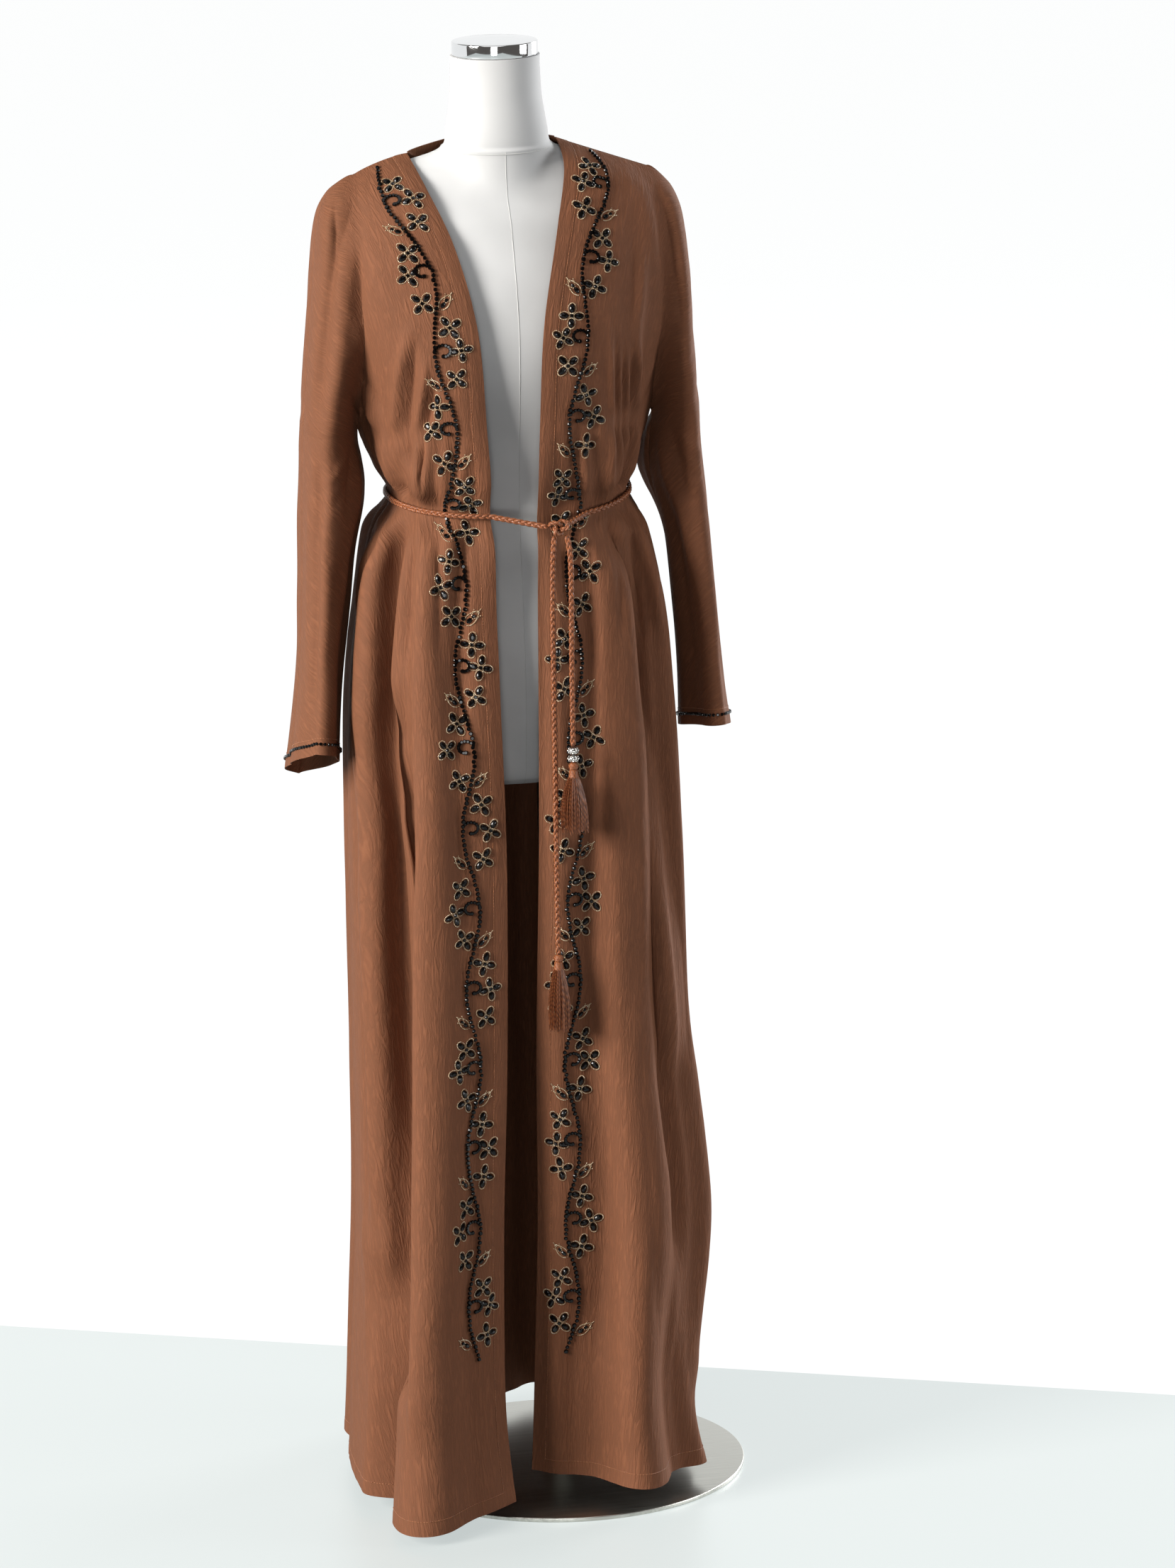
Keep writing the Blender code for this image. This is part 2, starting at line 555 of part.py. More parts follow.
def make_back(name, material, group):
    panel = Panel(name)
    shares = [k / BACK_COLUMNS for k in range(BACK_COLUMNS + 1)]
    tables = ((FRONT_RIGHT, SLEEVE_RIGHT), (FRONT_LEFT, SLEEVE_LEFT))
    halves = []
    for table, _ in tables:
        chains = []
        for share in shares:
            chain = [neckline_or_shoulder(BACK[0], table[0], share)]
            chain += [back_point(BACK[k], table[k], share) for k in range(1, len(BACK))]
            chains.append(chain)
        halves.append(chains)
    chains = halves[0][:0:-1] + halves[1]
    places = [-share for share in shares[:0:-1]] + shares
    last = len(chains) - 1

    sleeves = []
    for table, sleeve in tables:
        tubes = []
        for turn in [k / SLEEVE_COLUMNS for k in range(SLEEVE_COLUMNS + 1)]:
            chain = []
            for k, row in enumerate(sleeve):
                if k == 0:
                    inner = front_point(table[0], 1.0)
                elif k <= UNDERARM:
                    inner = back_point(BACK[k], table[k], 1.0)
                else:
                    inner = Vector((row.inner_x, 0.0, row.outer_z))
                chain.append(sleeve_point(row, inner, row.back, turn))
            tubes.append(chain)
        sleeves.append(tubes)

    ends = (True, True)
    rows = body_grid(chains, places, FOLDS_BACK, GATHERS_BACK, UPPER_STATIONS, ends, True)
    grid = []
    for station, row in zip(UPPER_STATIONS, rows):
        top = station == UPPER_STATIONS[0]
        under = station == UNDERARM
        line = []
        for k in range(SLEEVE_COLUMNS, 0, -1):
            place = part_from_seam(through(sleeves[0][k], station), 1)
            line.append(panel.add(place, top or k == SLEEVE_COLUMNS))
        for k, (place, _) in enumerate(row):
            neck = top and abs(places[k]) < NECK_COLUMNS / BACK_COLUMNS - 0.001
            mark = top and not neck
            if under and k in (0, last):
                mark = "underarm"
            line.append(panel.add(part_from_seam(place, 1), mark))
        for k in range(1, SLEEVE_COLUMNS + 1):
            place = part_from_seam(through(sleeves[1][k], station), 1)
            line.append(panel.add(place, top or k == SLEEVE_COLUMNS))
        grid.append(line)
    panel.fill(grid, False)

    split = grid[-1]
    body_rows = [split[SLEEVE_COLUMNS: SLEEVE_COLUMNS + last + 1]]
    lower = body_grid(chains, places, FOLDS_BACK, GATHERS_BACK, LOWER_STATIONS, ends, True)
    for row in lower:
        body_rows.append([panel.add(part_from_seam(place, 1), seam) for place, seam in row])
    panel.fill(body_rows, False)

    for side, tubes in enumerate(sleeves):
        start = split[: SLEEVE_COLUMNS + 1] if side == 0 else split[SLEEVE_COLUMNS + last:]
        sleeve_rows = [start]
        order = range(SLEEVE_COLUMNS, -1, -1) if side == 0 else range(SLEEVE_COLUMNS + 1)
        for station in SLEEVE_STATIONS:
            line = []
            for k in order:
                place = part_from_seam(through(tubes[k], station), 1)
                line.append(panel.add(place, k in (0, SLEEVE_COLUMNS)))
            sleeve_rows.append(line)
        panel.fill(sleeve_rows, False)
    points, faces = thicken(panel, 1)
    return make_object(name, shifted(points), faces, material, group)


def ring_points(ring, sides):
    """A rounded ring of the torso at one height."""
    points = []
    for k in range(sides):
        angle = 2 * math.pi * k / sides
        c, s = math.cos(angle), math.sin(angle)
        depth = ring.back if s > 0 else ring.front
        x = ring.half_width * math.copysign(abs(c) ** (2 / ring.power), c)
        y = depth * math.copysign(abs(s) ** (2 / ring.power), s)
        points.append(Vector((x + TORSO_X + FORM_X, y, ring.height)))
    return points


def make_torso(material, group):
    """The covered torso and neck, lofted through its rings."""
    points, faces = [], []
    for ring in TORSO:
        points += ring_points(ring, TORSO_SIDES)
    rings = len(TORSO)
    for r in range(rings - 1):
        for k in range(TORSO_SIDES):
            a = r * TORSO_SIDES + k
            b = r * TORSO_SIDES + (k + 1) % TORSO_SIDES
            faces.append((a, b, b + TORSO_SIDES, a + TORSO_SIDES))
    faces.append(tuple(range(TORSO_SIDES))[::-1])
    faces.append(tuple(range((rings - 1) * TORSO_SIDES, rings * TORSO_SIDES)))
    thing = make_object("dress_form", points, faces, material, group)
    thing.data.shade_smooth()
    return thing


def turned(name, profile, centre, sides, material, group):
    """A turned piece from its outer profile, top to bottom, as radius and height."""
    mesh = bpy.data.meshes.new(name)
    points = [(radius, 0.0, height) for radius, height in profile]
    mesh.from_pydata(points, [(k, k + 1) for k in range(len(points) - 1)], [])
    mesh.materials.append(material)
    thing = bpy.data.objects.new(name, mesh)
    thing.location = centre
    group.objects.link(thing)
    screw = thing.modifiers.new("turn", "SCREW")
    screw.steps = sides
    screw.render_steps = sides
    screw.use_merge_vertices = True
    screw.merge_threshold = 0.00005
    screw.use_smooth_shade = True
    return thing


def make_stand(materials, group):
    """The plate, the pole's foot, the pole and the neck's cap."""
    top = PLATE_THICKNESS
    plate = [
        (0.0, top),
        (PLATE_RADIUS - PLATE_EDGE, top),
        (PLATE_RADIUS, top - PLATE_EDGE),
        (PLATE_RADIUS, PLATE_EDGE * 0.5),
        (PLATE_RADIUS - PLATE_EDGE * 0.5, 0.0),
        (0.0, 0.0),
    ]
    turned("base_plate", plate, (0, 0, 0), 56, materials["brushed steel"], group)

    foot_base = top + SEAT_GAP
    foot = [
        (0.0, foot_base + FOOT_HEIGHT),
        (FOOT_RADIUS * 0.75, foot_base + FOOT_HEIGHT),
        (FOOT_RADIUS * 0.80, foot_base + FOOT_HEIGHT - 0.001),
        (FOOT_RADIUS, foot_base + 0.004),
        (FOOT_RADIUS, foot_base),
        (0.0, foot_base),
    ]
    turned("pole_foot", foot, (0, 0, 0), 24, materials["brushed steel"], group)

    pole_base = foot_base + FOOT_HEIGHT + SEAT_GAP
    pole_top = TORSO[0].height - SEAT_GAP
    bpy.ops.mesh.primitive_cylinder_add(
        vertices=20,
        radius=POLE_RADIUS,
        depth=pole_top - pole_base,
        location=(0, 0, 0.5 * (pole_top + pole_base)),
    )
    pole = bpy.context.object
    pole.name = "stand_pole"
    pole.data.materials.append(materials["brushed steel"])
    for holder in list(pole.users_collection):
        holder.objects.unlink(pole)
    group.objects.link(pole)

    cap_base = TORSO[-1].height + SEAT_GAP
    cap = [
        (0.0, cap_base + CAP_HEIGHT),
        (CAP_RADIUS - 0.003, cap_base + CAP_HEIGHT - 0.0006),
        (CAP_RADIUS - 0.001, cap_base + CAP_HEIGHT - 0.0015),
        (CAP_RADIUS, cap_base + CAP_HEIGHT - 0.003),
        (CAP_RADIUS, cap_base + 0.001),
        (CAP_RADIUS - 0.001, cap_base),
        (0.0, cap_base),
    ]
    turned("neck_cap", cap, (FORM_X + TORSO_X, 0, 0), 32, materials["chrome"], group)


def cloth_section(station):
    """The cloth's outer plan at a station, from the right front edge round the back to the left one."""
    points = []
    for k in range(BODY_COLUMNS + 1):
        chain = [front_point(row, k / BODY_COLUMNS) for row in FRONT_RIGHT]
        points.append(through(chain, station))
    for sign, table, order in ((-1, FRONT_RIGHT, 1), (1, FRONT_LEFT, -1)):
        shares = [k / BACK_COLUMNS for k in range(BACK_COLUMNS + 1)]
        line = []
        for share in shares:
            chain = [back_point(BACK[k], table[k], share) for k in range(len(BACK))]
            line.append(through(chain, station))
        points += line[::-1][1:] if sign < 0 else line[1:]
    for k in range(BODY_COLUMNS - 1, -1, -1):
        chain = [front_point(row, k / BODY_COLUMNS) for row in FRONT_LEFT]
        points.append(through(chain, station))
    return points


def grown(points, distance):
    """The plan moved out by a distance."""
    moved = []
    for k, here in enumerate(points):
        before = points[max(k - 1, 0)]
        after = points[min(k + 1, len(points) - 1)]
        along = after - before
        side = Vector((along.y, -along.x, 0.0)).normalized()
        moved.append(here + side * -distance)
    return moved


def make_tube(name, places, radius, material, group, resolution=2):
    """A cord as a curve with round section and filled ends."""
    curve = bpy.data.curves.new(name, "CURVE")
    curve.dimensions = "3D"
    curve.bevel_depth = radius
    curve.bevel_resolution = resolution
    curve.use_fill_caps = True
    spline = curve.splines.new("POLY")
    spline.points.add(len(places) - 1)
    for point, place in zip(spline.points, places):
        point.co = (place.x, place.y, place.z, 1.0)
    curve.materials.append(material)
    thing = bpy.data.objects.new(name, curve)
    group.objects.link(thing)
    return thing


def evenly(points, step):
    """Points at an even step along a smooth curve through the route's own points."""
    fine = [through(points, k / 40 * (len(points) - 1)) for k in range(41)]
    lengths = [0.0]
    for a, b in zip(fine, fine[1:]):
        lengths.append(lengths[-1] + (b - a).length)
    count = max(2, round(lengths[-1] / step))
    places = []
    for k in range(count + 1):
        target = lengths[-1] * k / count
        j = max(i for i, length in enumerate(lengths) if length <= target + 1e-9)
        j = min(j, len(fine) - 2)
        share = (target - lengths[j]) / (lengths[j + 1] - lengths[j])
        places.append(fine[j].lerp(fine[j + 1], share))
    return places


def make_belt(materials, group):
    material = materials["braided cord"]
    lift = BELT_CREST + CORD_RADIUS + BELT_EASE + SEAT_GAP
    ring = shifted(grown(cloth_section(BELT_STATION), lift))
    knot_centre, = shifted([KNOT_CENTRE])
    left_gate = knot_centre + Vector((-KNOT_SIZE.x - KNOT_ROOM, 0.0, 0.0005))
    right_gate = knot_centre + Vector((KNOT_SIZE.x + KNOT_ROOM, 0.0, 0.003))
    while ring[-1].x < right_gate.x + KNOT_SIZE.x:
        ring.pop()
    route = [left_gate, left_gate.lerp(ring[0], 0.5)] + ring + [right_gate]
    make_tube("belt_round_waist", route, CORD_RADIUS, material, group)

    bpy.ops.mesh.primitive_uv_sphere_add(segments=14, ring_count=8, radius=1.0, location=knot_centre)
    knot = bpy.context.object
    knot.name = "belt_knot"
    for vertex in knot.data.vertices:
        vertex.co = Vector((vertex.co.x * KNOT_SIZE.x, vertex.co.y * KNOT_SIZE.y, vertex.co.z * KNOT_SIZE.z))
    knot.data.materials.append(material)
    for holder in list(knot.users_collection):
        holder.objects.unlink(knot)
    group.objects.link(knot)

    long_route = evenly(shifted([Vector(place) for place in LONG_END_ROUTE]), CORD_STEP)
    make_tube("belt_end_long", long_route, CORD_RADIUS, material, group)
    short_route = evenly(shifted([Vector(place) for place in SHORT_END_ROUTE]), CORD_STEP)
    make_tube("belt_end_short", short_route, CORD_RADIUS, material, group)

    foot = short_route[-1]
    upper_z = foot.z - SEAT_GAP - BEAD_HEIGHT
    lower_z = upper_z - SEAT_GAP - BEAD_HEIGHT
    for name, z in (("belt_bead_upper", upper_z), ("belt_bead_lower", lower_z)):
        profile = []
        for k in range(7):
            angle = math.pi * (k / 6 - 0.5)
            profile.append(
                (BEAD_RADIUS * (0.45 + 0.55 * math.cos(angle)), BEAD_HEIGHT * 0.5 * (1 - math.sin(angle)))
            )
        profile = [(0.0, BEAD_HEIGHT)] + profile + [(0.0, 0.0)]
        turned(name, profile, (foot.x, foot.y, z), 16, materials["silver filigree"], group)

    long_top = long_route[-1] - Vector((0, 0, SEAT_GAP))
    make_tassel("tassel_long", long_top, TASSEL_LONG, TASSEL_LONG_SPREAD, material, group)
    short_top = Vector((foot.x, foot.y, lower_z - SEAT_GAP))
    make_tassel("tassel_short", short_top, TASSEL_SHORT, TASSEL_SHORT_SPREAD, material, group)


def make_tassel(name, top, length, spread, material, group):
    """A bound head with strands fused into its foot, hanging side by side."""
    radius = TASSEL_HEAD_RADIUS
    head = [
        (0.0, 0.0),
        (radius * 0.55, 0.0),
        (radius, -0.004),
        (radius * 0.86, -0.009),
        (radius * 1.05, -TASSEL_HEAD),
        (0.0, -TASSEL_HEAD),
    ]
    thing = turned(name, head, top, 18, material, group)
    strands = bmesh.new()
    golden = math.pi * (3 - math.sqrt(5))
    for k in range(TASSEL_STRANDS):
        ring = math.sqrt((k + 0.5) / TASSEL_STRANDS)
        angle = k * golden
        root = Vector((math.cos(angle), math.sin(angle), 0)) * ring * radius * 0.80
        end = Vector((math.cos(angle), math.sin(angle), 0)) * ring * spread
        drop = length * (0.97 + 0.03 * math.cos(5 * angle))
        stations = ((root, -TASSEL_HEAD + 0.002), (root.lerp(end, 0.75), -0.45 * length), (end, -drop))
        rings = []
        for place, z in stations:
            corners = []
            for corner in range(3):
                turn = angle + 2 * math.pi * corner / 3
                x = place.x + STRAND_RADIUS * math.cos(turn)
                y = place.y + STRAND_RADIUS * math.sin(turn)
                corners.append(strands.verts.new((x, y, z)))
            rings.append(corners)
        strands.faces.new(rings[0])
        for upper, lower in zip(rings, rings[1:]):
            for corner in range(3):
                following = (corner + 1) % 3
                strands.faces.new((upper[corner], lower[corner], lower[following], upper[following]))
        strands.faces.new(rings[-1][::-1])
    bmesh.ops.recalc_face_normals(strands, faces=strands.faces)
    mesh = bpy.data.meshes.new(name + "_strands")
    strands.to_mesh(mesh)
    strands.free()
    cutter = bpy.data.objects.new(name + "_strands", mesh)
    cutter.location = top
    cutter.hide_render = True
    cutter.display_type = "WIRE"
    bpy.data.collections["Cutters"].objects.link(cutter)
    union = thing.modifiers.new("strands", "BOOLEAN")
    union.operation = "UNION"
    union.solver = "EXACT"
    union.object = cutter
    return thing


def main():
    clear_scene()
    group = make_collection("Abaya cloak")
    make_collection("Cutters")
    materials = make_materials()
    cloth = materials["crinkled crepe"]
    make_front("front_right", FRONT_RIGHT, SLEEVE_RIGHT, FOLDS_FRONT_RIGHT, GATHERS_FRONT, cloth, group)
    make_front("front_left", FRONT_LEFT, SLEEVE_LEFT, FOLDS_FRONT_LEFT, GATHERS_FRONT, cloth, group)
    make_back("back", cloth, group)
    make_torso(materials["form cover"], group)
    make_stand(materials, group)
    make_belt(materials, group)


main()
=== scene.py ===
"""Looks of the abaya cloak on its dress form: crepe, beaded vines, braided belt, covered form and stand.

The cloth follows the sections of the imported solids, with finer folds. Metres, +Z up, the cloak's front
towards -Y, +X to the viewer's right, the wearer's left. The origin is on the floor, under the plate's middle.
"""

import math
from collections import namedtuple

import bpy
import numpy as np
from mathutils import Matrix, Vector


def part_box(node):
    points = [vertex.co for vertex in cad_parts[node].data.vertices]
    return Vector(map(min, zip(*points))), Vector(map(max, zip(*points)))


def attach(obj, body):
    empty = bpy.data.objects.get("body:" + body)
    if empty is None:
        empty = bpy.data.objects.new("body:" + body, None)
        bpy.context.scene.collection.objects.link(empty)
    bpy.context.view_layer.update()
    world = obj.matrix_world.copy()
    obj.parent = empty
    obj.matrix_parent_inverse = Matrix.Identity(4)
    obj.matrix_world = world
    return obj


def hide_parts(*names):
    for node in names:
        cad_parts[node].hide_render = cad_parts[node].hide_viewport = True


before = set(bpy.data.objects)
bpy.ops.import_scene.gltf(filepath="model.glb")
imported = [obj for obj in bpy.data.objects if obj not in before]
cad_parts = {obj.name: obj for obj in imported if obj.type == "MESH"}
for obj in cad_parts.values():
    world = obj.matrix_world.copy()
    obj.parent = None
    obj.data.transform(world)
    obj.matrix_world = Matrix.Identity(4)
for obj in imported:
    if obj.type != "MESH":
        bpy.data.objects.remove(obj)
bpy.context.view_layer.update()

# Driving dimensions
MM = 0.001
FORM_X = -0.038  # the form's axis, beside the pole that enters it off centre
CREPE = 0.9 * MM  # the cloth's shell
SEAM_GAP = 0.3 * MM
UNDERARM = 4  # the station where body and sleeve part
BELT_STATION = 6
HEM_STATION = 14
NECK_SHARE = 3 / 14  # the share of half the back that is neckline
SLEEVE_LEAN = 0.35
SLEEVE_PULL = 0.85
PLAIT_WIDTH = 6.6 * MM

# The cloth's sections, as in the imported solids, from the shoulder seam to the hem, from the form's axis.
FrontRow = namedtuple(
    "FrontRow",
    "name edge_x edge_y edge_z corner_x corner_y side_x side_y side_z pull sag",
)
FRONT_RIGHT = (
    FrontRow("shoulder", -0.101, 0.000, 1.4845, -0.130, 0.000, -0.160, 0.000, 1.4645, 0.50, 0.003),
    FrontRow("upper chest", -0.088, -0.046, 1.451, -0.130, -0.050, -0.164, -0.036, 1.432, 0.50, 0.004),
    FrontRow("chest", -0.066, -0.090, 1.390, -0.148, -0.098, -0.163, -0.050, 1.368, 0.50, 0.002),
    FrontRow("bust", -0.049, -0.118, 1.305, -0.148, -0.130, -0.160, -0.042, 1.285, 0.55, 0.000),
    FrontRow("underarm", -0.042, -0.118, 1.195, -0.130, -0.134, -0.162, 0.000, 1.190, 0.58, 0.000),
    FrontRow("blouse", -0.040, -0.112, 1.150, -0.138, -0.126, -0.144, 0.000, 1.148, 0.58, -0.004),
    FrontRow("belt", -0.039, -0.103, 1.106, -0.128, -0.108, -0.129, 0.000, 1.115, 0.58, 0.000),
    FrontRow("under belt", -0.037, -0.112, 1.066, -0.150, -0.122, -0.149, 0.000, 1.074, 0.58, 0.000),
    FrontRow("high hip", -0.037, -0.120, 1.000, -0.170, -0.142, -0.165, 0.000, 1.000, 0.60, 0.000),
    FrontRow("hip", -0.036, -0.128, 0.890, -0.186, -0.160, -0.179, 0.000, 0.890, 0.60, 0.000),
    FrontRow("thigh", -0.035, -0.136, 0.740, -0.190, -0.180, -0.184, 0.000, 0.740, 0.60, 0.000),
    FrontRow("knee", -0.041, -0.145, 0.520, -0.192, -0.212, -0.186, 0.000, 0.520, 0.60, 0.000),
    FrontRow("calf", -0.051, -0.155, 0.320, -0.196, -0.245, -0.189, 0.000, 0.310, 0.62, 0.000),
    FrontRow("shin", -0.055, -0.165, 0.130, -0.208, -0.280, -0.199, 0.000, 0.130, 0.64, -0.004),
    FrontRow("hem", -0.049, -0.179, 0.022, -0.224, -0.300, -0.204, 0.000, 0.028, 0.66, -0.013),
)
FRONT_LEFT = (
    FrontRow("shoulder", 0.061, 0.000, 1.4940, 0.110, 0.000, 0.160, 0.000, 1.4590, 0.50, 0.000),
    FrontRow("upper chest", 0.061, -0.046, 1.468, 0.120, -0.052, 0.164, -0.036, 1.430, 0.50, 0.004),
    FrontRow("chest", 0.044, -0.090, 1.410, 0.148, -0.098, 0.164, -0.050, 1.362, 0.50, 0.002),
    FrontRow("bust", 0.021, -0.122, 1.310, 0.147, -0.130, 0.159, -0.042, 1.280, 0.55, 0.000),
    FrontRow("underarm", 0.014, -0.124, 1.205, 0.128, -0.136, 0.160, 0.000, 1.195, 0.58, 0.000),
    FrontRow("blouse", 0.012, -0.118, 1.150, 0.132, -0.129, 0.139, 0.000, 1.148, 0.58, -0.004),
    FrontRow("belt", 0.011, -0.108, 1.098, 0.126, -0.112, 0.128, 0.000, 1.115, 0.58, 0.000),
    FrontRow("under belt", 0.010, -0.114, 1.060, 0.146, -0.124, 0.144, 0.000, 1.074, 0.58, 0.000),
    FrontRow("high hip", 0.008, -0.120, 1.000, 0.166, -0.142, 0.163, 0.000, 1.000, 0.60, 0.000),
    FrontRow("hip", 0.006, -0.123, 0.890, 0.172, -0.160, 0.170, 0.000, 0.890, 0.60, 0.000),
    FrontRow("thigh", 0.003, -0.123, 0.740, 0.174, -0.180, 0.174, 0.000, 0.740, 0.60, 0.000),
    FrontRow("knee", -0.004, -0.121, 0.520, 0.178, -0.205, 0.178, 0.000, 0.520, 0.60, 0.000),
    FrontRow("calf", -0.007, -0.121, 0.320, 0.194, -0.220, 0.194, 0.000, 0.310, 0.60, 0.000),
    FrontRow("shin", -0.014, -0.119, 0.140, 0.174, -0.238, 0.172, 0.000, 0.140, 0.60, 0.000),
    FrontRow("hem", -0.019, -0.119, 0.036, 0.192, -0.250, 0.177, 0.000, 0.027, 0.60, -0.003),
)
BackRow = namedtuple("BackRow", "name centre_y centre_z corner_share corner_y side_y pull")
BACK = (
    BackRow("neckline", 0.072, 1.4935, 1.00, 0.010, 0.000, 0.50),
    BackRow("upper back", 0.090, 1.450, 1.00, 0.070, 0.040, 0.50),
    BackRow("shoulder blades", 0.104, 1.385, 1.00, 0.112, 0.055, 0.50),
    BackRow("mid back", 0.110, 1.300, 0.92, 0.128, 0.045, 0.55),
    BackRow("underarm", 0.108, 1.205, 0.80, 0.128, 0.000, 0.58),
    BackRow("blouse", 0.104, 1.150, 0.94, 0.119, 0.000, 0.58),
    BackRow("belt", 0.094, 1.115, 0.99, 0.100, 0.000, 0.58),
    BackRow("under belt", 0.108, 1.074, 0.98, 0.118, 0.000, 0.58),
    BackRow("high hip", 0.126, 1.000, 0.96, 0.142, 0.000, 0.60),
    BackRow("hip", 0.138, 0.890, 0.93, 0.158, 0.000, 0.60),
    BackRow("thigh", 0.146, 0.740, 0.90, 0.170, 0.000, 0.60),
    BackRow("knee", 0.156, 0.520, 0.87, 0.184, 0.000, 0.60),
    BackRow("calf", 0.166, 0.320, 0.84, 0.200, 0.000, 0.60),
    BackRow("shin", 0.176, 0.135, 0.82, 0.214, 0.000, 0.60),
    BackRow("hem", 0.182, 0.024, 0.82, 0.222, 0.000, 0.60),
)
SleeveRow = namedtuple("SleeveRow", "name inner_x outer_x outer_z front back slope")
SLEEVE_RIGHT = (
    SleeveRow("shoulder tip", -0.160, -0.187, 1.450, -0.002, 0.002, 0.0),
    SleeveRow("cap", -0.164, -0.199, 1.422, -0.044, 0.048, 0.0),
    SleeveRow("upper arm", -0.167, -0.206, 1.368, -0.076, 0.080, 0.0),
    SleeveRow("arm", -0.166, -0.214, 1.285, -0.086, 0.088, 0.0),
    SleeveRow("underarm", -0.160, -0.222, 1.190, -0.088, 0.090, 0.0),
    SleeveRow("elbow", -0.166, -0.225, 1.120, -0.089, 0.092, -0.05),
    SleeveRow("forearm", -0.172, -0.228, 1.020, -0.091, 0.094, -0.15),
    SleeveRow("above cuff", -0.185, -0.235, 0.915, -0.095, 0.096, -0.28),
    SleeveRow("cuff", -0.191, -0.246, 0.822, -0.101, 0.100, -0.37),
)
SLEEVE_LEFT = (
    SleeveRow("shoulder tip", 0.160, 0.186, 1.438, -0.002, 0.002, 0.0),
    SleeveRow("cap", 0.164, 0.196, 1.408, -0.044, 0.048, 0.0),
    SleeveRow("upper arm", 0.168, 0.200, 1.352, -0.076, 0.080, 0.0),
    SleeveRow("arm", 0.167, 0.204, 1.275, -0.084, 0.088, 0.0),
    SleeveRow("underarm", 0.157, 0.209, 1.195, -0.084, 0.090, 0.0),
    SleeveRow("elbow", 0.168, 0.214, 1.120, -0.084, 0.092, -0.05),
    SleeveRow("forearm", 0.176, 0.221, 1.020, -0.086, 0.094, -0.10),
    SleeveRow("above cuff", 0.184, 0.230, 0.915, -0.090, 0.096, -0.16),
    SleeveRow("cuff", 0.187, 0.239, 0.838, -0.096, 0.100, -0.20),
)

# Largest folds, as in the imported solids. Place is a share of the panel's width.
Fold = namedtuple("Fold", "start end place_start place_end reach_start reach_end width_start width_end")
FOLDS_FRONT_RIGHT = (
    Fold(6.3, 14.2, 0.66, 0.68, -0.012, -0.055, 0.10, 0.13),
    Fold(9.0, 14.2, 0.36, 0.38, 0.004, 0.034, 0.22, 0.24),
    Fold(7.5, 13.0, 0.84, 0.76, -0.010, -0.012, 0.07, 0.08),
    Fold(6.5, 10.5, 0.40, 0.30, 0.009, 0.006, 0.08, 0.14),
    Fold(6.3, 9.5, 0.20, 0.18, -0.006, -0.004, 0.08, 0.10),
    Fold(4.2, 5.9, 0.70, 0.70, -0.004, -0.012, 0.10, 0.08),
    Fold(3.4, 5.9, 0.42, 0.48, 0.004, 0.010, 0.12, 0.09),
    Fold(3.6, 5.9, 0.22, 0.26, -0.003, -0.007, 0.08, 0.08),
)
FOLDS_FRONT_LEFT = (
    Fold(6.3, 13.6, 0.60, 0.80, 0.012, 0.016, 0.10, 0.12),
    Fold(10.5, 14.2, 0.40, 0.34, 0.006, 0.046, 0.16, 0.19),
    Fold(6.3, 12.5, 0.44, 0.56, -0.010, -0.014, 0.08, 0.10),
    Fold(6.3, 14.2, 0.07, 0.07, 0.004, 0.005, 0.06, 0.06),
    Fold(6.3, 13.0, 0.22, 0.20, -0.006, -0.010, 0.08, 0.12),
    Fold(12.0, 14.2, 0.70, 0.68, 0.002, 0.020, 0.10, 0.12),
    Fold(4.2, 5.9, 0.64, 0.64, -0.004, -0.012, 0.10, 0.08),
    Fold(3.4, 5.9, 0.38, 0.44, 0.004, 0.010, 0.12, 0.09),
    Fold(3.6, 5.9, 0.20, 0.22, -0.003, -0.007, 0.08, 0.08),
)
FOLDS_BACK = (
    Fold(6.3, 14.2, -0.78, -0.74, 0.008, 0.018, 0.10, 0.12),
    Fold(6.3, 14.2, -0.56, -0.52, -0.010, -0.022, 0.10, 0.12),
    Fold(6.3, 14.2, -0.34, -0.28, 0.010, 0.024, 0.10, 0.14),
    Fold(6.3, 14.2, -0.12, -0.06, -0.010, -0.018, 0.10, 0.12),
    Fold(6.3, 14.2, 0.12, 0.18, 0.010, 0.022, 0.10, 0.14),
    Fold(6.3, 14.2, 0.34, 0.42, -0.010, -0.022, 0.10, 0.12),
    Fold(6.3, 14.2, 0.58, 0.66, 0.010, 0.022, 0.10, 0.12),
    Fold(3.6, 5.9, -0.62, -0.60, -0.004, -0.012, 0.12, 0.10),
    Fold(3.4, 5.9, -0.24, -0.26, 0.004, 0.010, 0.12, 0.10),
    Fold(3.4, 5.9, 0.14, 0.12, -0.004, -0.010, 0.12, 0.10),
    Fold(3.6, 5.9, 0.50, 0.52, 0.004, 0.010, 0.12, 0.10),
)
FOLD_FADE_IN = 0.8  # in stations
FOLD_FADE_OUT = 0.6
GATHERS = 4
BELT_CREST = 3.0 * MM
GATHER_CREST = 3.5 * MM
GATHER_RISE = 0.8
GATHER_HOLD = 0.7
GATHER_FADE = 1.5
SEAM_CALM = 0.08

